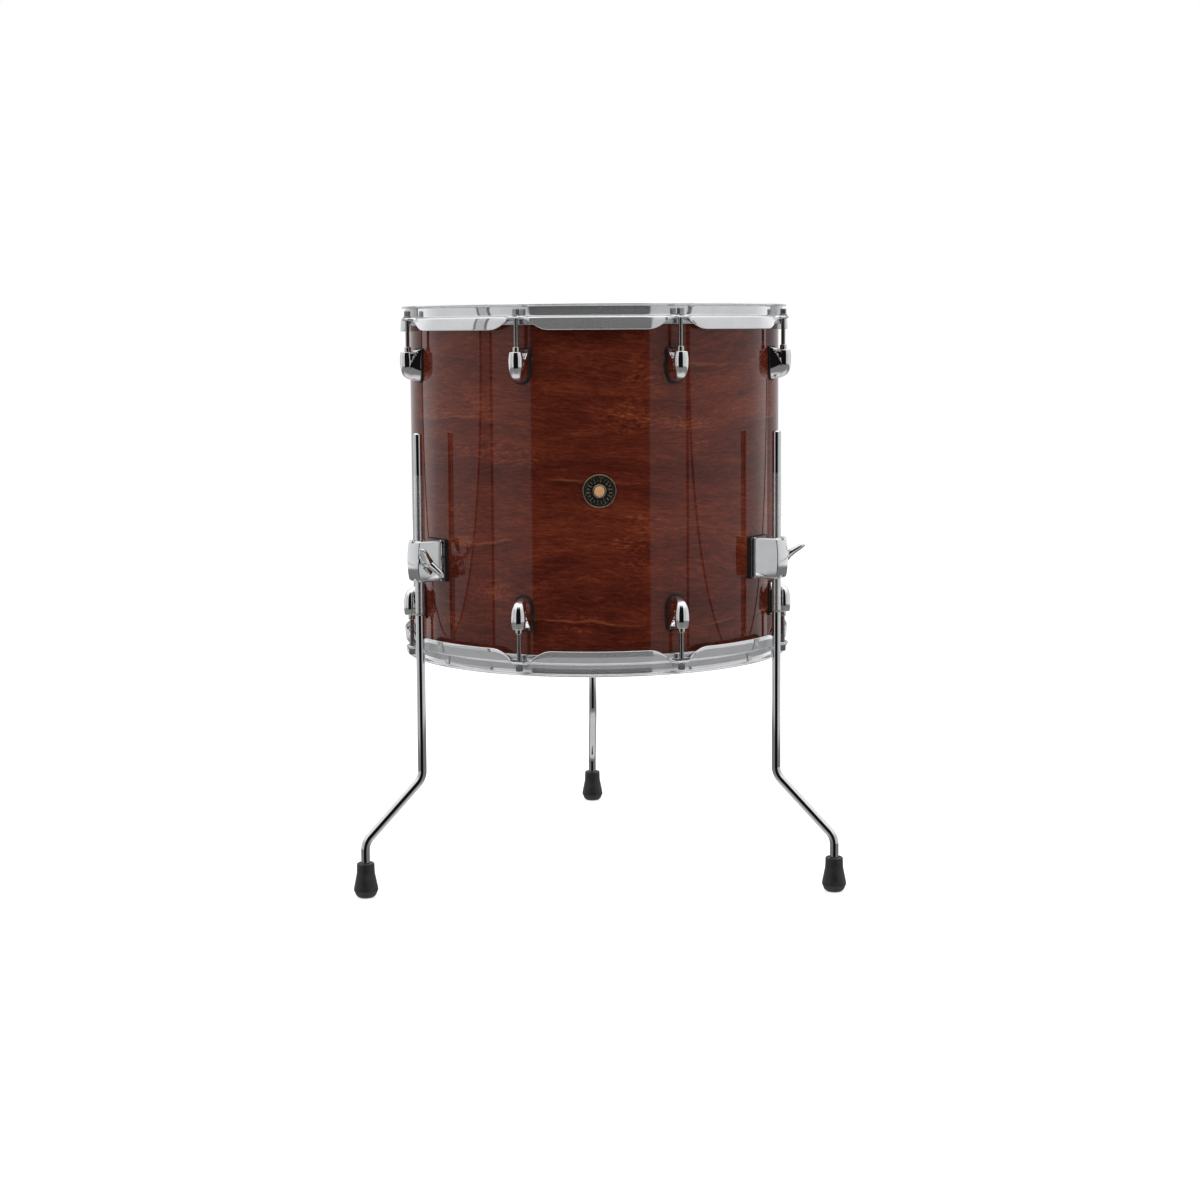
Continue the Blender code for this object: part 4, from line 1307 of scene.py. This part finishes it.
def bolt_mesh():
    """The wing bolt about its own axis, local X, with its wings along local Z."""
    along = Matrix.Rotation(PI / 2, 4, "Y")
    shaft_profile = [(0.0, LEG_D / 2 / MM + 0.4), (1.8, LEG_D / 2 / MM + 0.4)]
    x = LEG_D / 2 / MM + 0.8
    while x < 13.9:
        shaft_profile += [(2.95, x + 0.25), (2.55, x + 0.65)]
        x += 0.8
    shaft_profile += [(2.9, 14.6), (2.9, 17.0), (0.0, 17.0)]
    shaft = lathe("shaft", shaft_profile, 32)
    hub = lathe(
        "hub",
        rounded([(0.0, 14.85, 0), (4.6, 14.85, 0.4), (5.6, 15.9, 0.8), (5.3, 21.0, 3.0), (4.3, 23.9, 1.6), (0.0, 24.55, 0.0)], closed=False, steps=6),
        48,
    )
    for m_ in (shaft, hub):
        m_.transform(along @ Matrix.Scale(MM, 4))
    # a leaf-shaped wing: centre line from the hub outwards, with its width
    line = curve([(2.0, 21.4), (6.0, 22.9), (10.0, 25.1), (15.0, 28.0), (21.0, 30.9)])
    width = curve([(2.0, 6.0), (6.0, 6.2), (10.0, 5.6), (15.0, 4.6), (18.6, 3.3), (20.1, 2.3), (20.75, 0.95), (20.95, 0.05)])
    thick = curve([(2.0, 3.5), (8.0, 3.0), (14.0, 2.8), (19.2, 2.3), (20.4, 1.5), (20.95, 0.1)])
    wings = []
    for s in (1, -1):
        rings = []
        for i in range(33):
            d = lerp(2.0, 20.95, math.sin(PI / 2 * i / 32) if i else 0.0)
            c, w, t = line(d), width(d), thick(d)
            ring = []
            for j in range(28):
                a = 2 * PI * j / 28
                ca, sa = math.cos(a), math.sin(a)
                px = c + w * math.copysign(abs(ca) ** 0.55, ca)
                py = t * math.copysign(abs(sa) ** 0.55, sa)
                # the wing's face is dished between its edges
                py *= 1.0 - 0.22 * (1 - abs(ca)) * smoothstep(5.0, 12.0, d)
                ring.append(Vector((px, py, s * (d - 0.35 * (px - c)))) * MM)
            rings.append(ring)
        wings.append(loft("wing", rings, angle=60.0))
    return carve(shaft, unions=[hub, *wings], angle=44.0)


leg, foot = leg_solid(), foot_mesh()
bracket, bracket_pad, wing = bracket_mesh(), bracket_gasket_mesh(), bolt_mesh()
for side, degrees in LEGS:
    at_leg = on_ring(LEG_R, degrees, 0.0) @ Matrix.Rotation(math.radians(SWIVEL[side]), 4, "Z")
    at_bracket = on_ring(LEG_R, degrees, BRACKET_Z)
    at_bolt = on_ring(BOLT_R, degrees, BRACKET_Z) @ Matrix.Rotation(math.radians(TILT[side]), 4, "X")
    piece(f"{side}_leg_rod", moved(leg, at_leg), [M["leg"], M["knurl"]], f"leg_{side}", [f"leg_{side}"])
    at_foot = at_leg @ Matrix.Translation((0, -LEG_REACH, 0))
    piece(f"{side}_leg_tip", moved(foot, at_foot), M["rubber"], f"leg_{side}", [f"foot_{side}"])
    piece(f"{side}_bracket_casting", moved(bracket, at_bracket), [M["box"], M["flange"]], "root", [f"leg_bracket_{side}"], True)
    piece(f"{side}_bracket_pad", moved(bracket_pad, at_bracket), M["gasket"], "root", [f"leg_gasket_{side}"])
    piece(f"{side}_wing_screw", moved(wing, at_bolt), M["wing"], f"wing_bolt_{side}", [f"wing_bolt_{side}"])
    four = [
        moved(screw, on_ring(inside, degrees + dx, BRACKET_Z + dz * MM))
        for dx in (-4.4, 4.4) for dz in (-16.0, 16.0)
    ]
    piece(f"{side}_bracket_screws", joined("four", *four), M["steel"], "root")


# ----------------------------------------------------- floor, light, camera
def floor():
    mat, n, shader = new_material("studio_floor", (0.40, 0.40, 0.40), Specular_IOR_Level=0.10, Emission_Color=(1.0, 1.0, 1.0, 1.0), Emission_Strength=0.76)
    place = n.place()
    cloud = n.noise(place, 3.0, 2.0, 0.5)
    n.put(shader, "Base Color", n.mix(cloud, (0.41, 0.41, 0.41), (0.39, 0.39, 0.39)))
    n.put(shader, "Roughness", n.ranged(cloud, 0.3, 0.7, 0.75, 0.85))
    mesh_ = bpy.data.meshes.new("studio_floor")
    xs, ys = (-3.2, 3.2), (-0.98, 4.2)
    mesh_.from_pydata([(xs[0], ys[0], 0), (xs[1], ys[0], 0), (xs[1], ys[1], 0), (xs[0], ys[1], 0)], [], [(0, 1, 2, 3)])
    mesh_.materials.append(mat)
    obj = bpy.data.objects.new("studio_floor", mesh_)
    bpy.context.scene.collection.objects.link(obj)
    obj.location = (0, 0, -0.0006)
    obj.visible_glossy = False


def studio():
    """White cards to the left and right and overhead, a dark room behind the
    camera, and a white backdrop behind the drum, all as the world's light."""
    world = bpy.data.worlds.new("studio")
    bpy.context.scene.world = world
    world.use_nodes = True
    tree = world.node_tree
    n = Nodes(tree)
    background = tree.nodes["Background"]
    direction = tree.nodes.new("ShaderNodeTexCoord").outputs["Generated"]
    x, y, z = n.xyz(direction)
    deg = 180 / PI
    azimuth = n.math("MULTIPLY", n.math("ARCTAN2", x, n.math("MULTIPLY", y, -1.0)), deg)
    elevation = n.math("MULTIPLY", n.math("ARCSINE", z), deg)
    down = n.math("MAXIMUM", n.math("MULTIPLY", elevation, -1.0), 0.0)
    aside = n.math("ABSOLUTE", azimuth)
    down = n.math("MINIMUM", down, 30.0)

    def blend(a, b, amount):
        return n.math("ADD", n.math("MULTIPLY", a, n.math("SUBTRACT", 1.0, amount)), n.math("MULTIPLY", b, amount))

    # white cards at the sides, brighter towards the back, then a darker wall
    level = n.math("ADD", n.ranged(aside, 35.0, 64.0, 0.50, 0.63), n.ranged(aside, 108.0, 131.0, 0.0, 0.36))
    level = blend(level, n.ranged(aside, 134.0, 168.0, 0.30, 0.62), n.ranged(aside, 133.4, 134.6))
    bow = n.math("SQRT", n.math("MAXIMUM", n.math("SUBTRACT", 1.0, n.math("POWER", n.math("MULTIPLY", down, 1.0 / 8.6), 2.3)), 0.0))
    bow = n.math("ADD", n.math("MULTIPLY", bow, 30.5), -105.0)
    strip = n.math("MULTIPLY", n.ranged(n.math("SUBTRACT", azimuth, bow), -0.5, 0.5), n.ranged(azimuth, -67.4, -66.4, 1.0, 0.0))
    level = n.math("MULTIPLY", level, n.math("SUBTRACT", 1.0, n.math("MULTIPLY", strip, 0.40)))
    level = blend(level, n.ranged(elevation, -20.0, -50.0, 0.20, 0.62), n.ranged(elevation, -9.6, -11.0))
    level = n.math("ADD", level, n.ranged(elevation, 9.0, 30.0, 0.0, 0.36))
    level = n.math("ADD", level, n.ranged(elevation, 40.0, 62.0, 0.0, 0.50))

    # black edges of the cards, curved below, and of the panels between them
    def edge(centre, half_width, depth):
        below = n.math("POWER", n.math("MULTIPLY", down, 1.0 / depth), 2.3)
        reach = n.math("SQRT", n.math("MAXIMUM", n.math("SUBTRACT", 1.0, below), 0.0))
        reach = n.math("MULTIPLY", reach, half_width)
        away = n.math("ABSOLUTE", n.math("SUBTRACT", azimuth, centre))
        line = n.ranged(n.math("ABSOLUTE", n.math("SUBTRACT", away, reach)), 0.3, 1.3, 1.0, 0.0)
        return n.math("MULTIPLY", line, n.math("LESS_THAN", down, depth))

    def upright(at):
        return n.ranged(n.math("ABSOLUTE", n.math("SUBTRACT", azimuth, at)), 0.6, 1.3, 1.0, 0.0)

    seam = n.math("MAXIMUM", edge(-105.0, 30.5, 8.6), edge(95.5, 37.5, 9.2))
    seam = n.math("MAXIMUM", seam, n.math("MAXIMUM", upright(-66.9), upright(57.0)))
    seam = n.math("MULTIPLY", seam, n.math("MULTIPLY", n.ranged(elevation, 16.0, 26.0, 1.0, 0.0), n.ranged(elevation, -13.0, -11.0)))
    level = n.math("MULTIPLY", level, n.math("SUBTRACT", 1.0, n.math("MULTIPLY", seam, 0.97)))

    # the dark room behind the camera, black at its height
    room = n.math("MULTIPLY", n.ranged(azimuth, -41.0, -39.4), n.ranged(azimuth, 31.5, 33.1, 1.0, 0.0))
    room = n.math("MULTIPLY", room, n.math("MULTIPLY", n.ranged(elevation, 40.0, 52.0, 1.0, 0.0), n.ranged(elevation, -58.0, -44.0)))
    black = n.math("MULTIPLY", n.ranged(elevation, -18.0, -15.0), n.ranged(elevation, 26.0, 34.0, 1.0, 0.0))
    grey = n.math("MULTIPLY", n.math("SUBTRACT", 1.0, n.math("MULTIPLY", black, 0.97)), 0.185)
    grey = n.math("ADD", grey, n.ranged(elevation, -30.0, -48.0, 0.0, 0.34))
    grey = n.math("ADD", grey, n.ranged(elevation, 36.0, 50.0, 0.0, 0.55))
    light = blend(level, grey, room)
    # what the camera sees behind everything is plain white paper
    path = tree.nodes.new("ShaderNodeLightPath")
    light = n.math("ADD", n.math("MULTIPLY", light, n.math("SUBTRACT", 1.0, path.outputs["Is Camera Ray"])), n.math("MULTIPLY", path.outputs["Is Camera Ray"], 1.0))
    tree.links.new(light, background.inputs["Strength"])
    background.inputs["Color"].default_value = (1.0, 1.0, 1.0, 1.0)


def soft_light(name, location, target, size, power, tall=None):
    data = bpy.data.lights.new(name, "AREA")
    data.shape = "RECTANGLE" if tall else "SQUARE"
    data.size = size
    if tall:
        data.size_y = tall
    data.energy = power
    obj = bpy.data.objects.new(name, data)
    bpy.context.scene.collection.objects.link(obj)
    obj.location = location
    obj.rotation_euler = (Vector(target) - Vector(location)).to_track_quat("-Z", "Y").to_euler()
    obj.visible_camera = False
    obj.visible_glossy = False
    return obj


def camera():
    data = bpy.data.cameras.new("camera")
    obj = bpy.data.objects.new("camera", data)
    bpy.context.scene.collection.objects.link(obj)
    heading, pitch, roll = math.radians(1.343), math.radians(5.138), -0.0066
    ahead = Vector((math.sin(heading) * math.cos(pitch), math.cos(heading) * math.cos(pitch), -math.sin(pitch)))
    right = ahead.cross(Vector((0, 0, 1))).normalized()
    up = right.cross(ahead)
    x_axis = math.cos(roll) * right + math.sin(roll) * up
    y_axis = -math.sin(roll) * right + math.cos(roll) * up
    turn = Matrix((x_axis, y_axis, -ahead)).transposed()
    obj.matrix_world = Matrix.Translation((-0.0466, AY - 2.2085, 0.589)) @ turn.to_4x4()
    data.sensor_width = 36.0
    data.lens = 59.616
    data.shift_y = -0.0707
    data.clip_start, data.clip_end = 0.05, 100.0
    bpy.context.scene.camera = obj


floor()
studio()
soft_light("overhead", (0.0, 0.2, 2.6), (0, 0, 0.2), 1.6, 34.0)
glow = bpy.data.objects.new("inside", bpy.data.lights.new("inside", "POINT"))
glow.data.energy, glow.data.shadow_soft_size = 0.45, 0.06
glow.location = (AX, AY, MID)
glow.visible_camera = glow.visible_glossy = False
bpy.context.scene.collection.objects.link(glow)
soft_light("front_left", (-1.7, -1.5, 1.5), (0, 0, 0.4), 0.9, 9.0)
soft_light("front_right", (1.7, -1.3, 1.4), (0, 0, 0.4), 0.9, 7.0)
camera()
scene = bpy.context.scene
scene.view_settings.view_transform = "Standard"
scene.view_settings.look = "None"
scene.view_settings.exposure = 0.0
scene.view_settings.gamma = 1.0
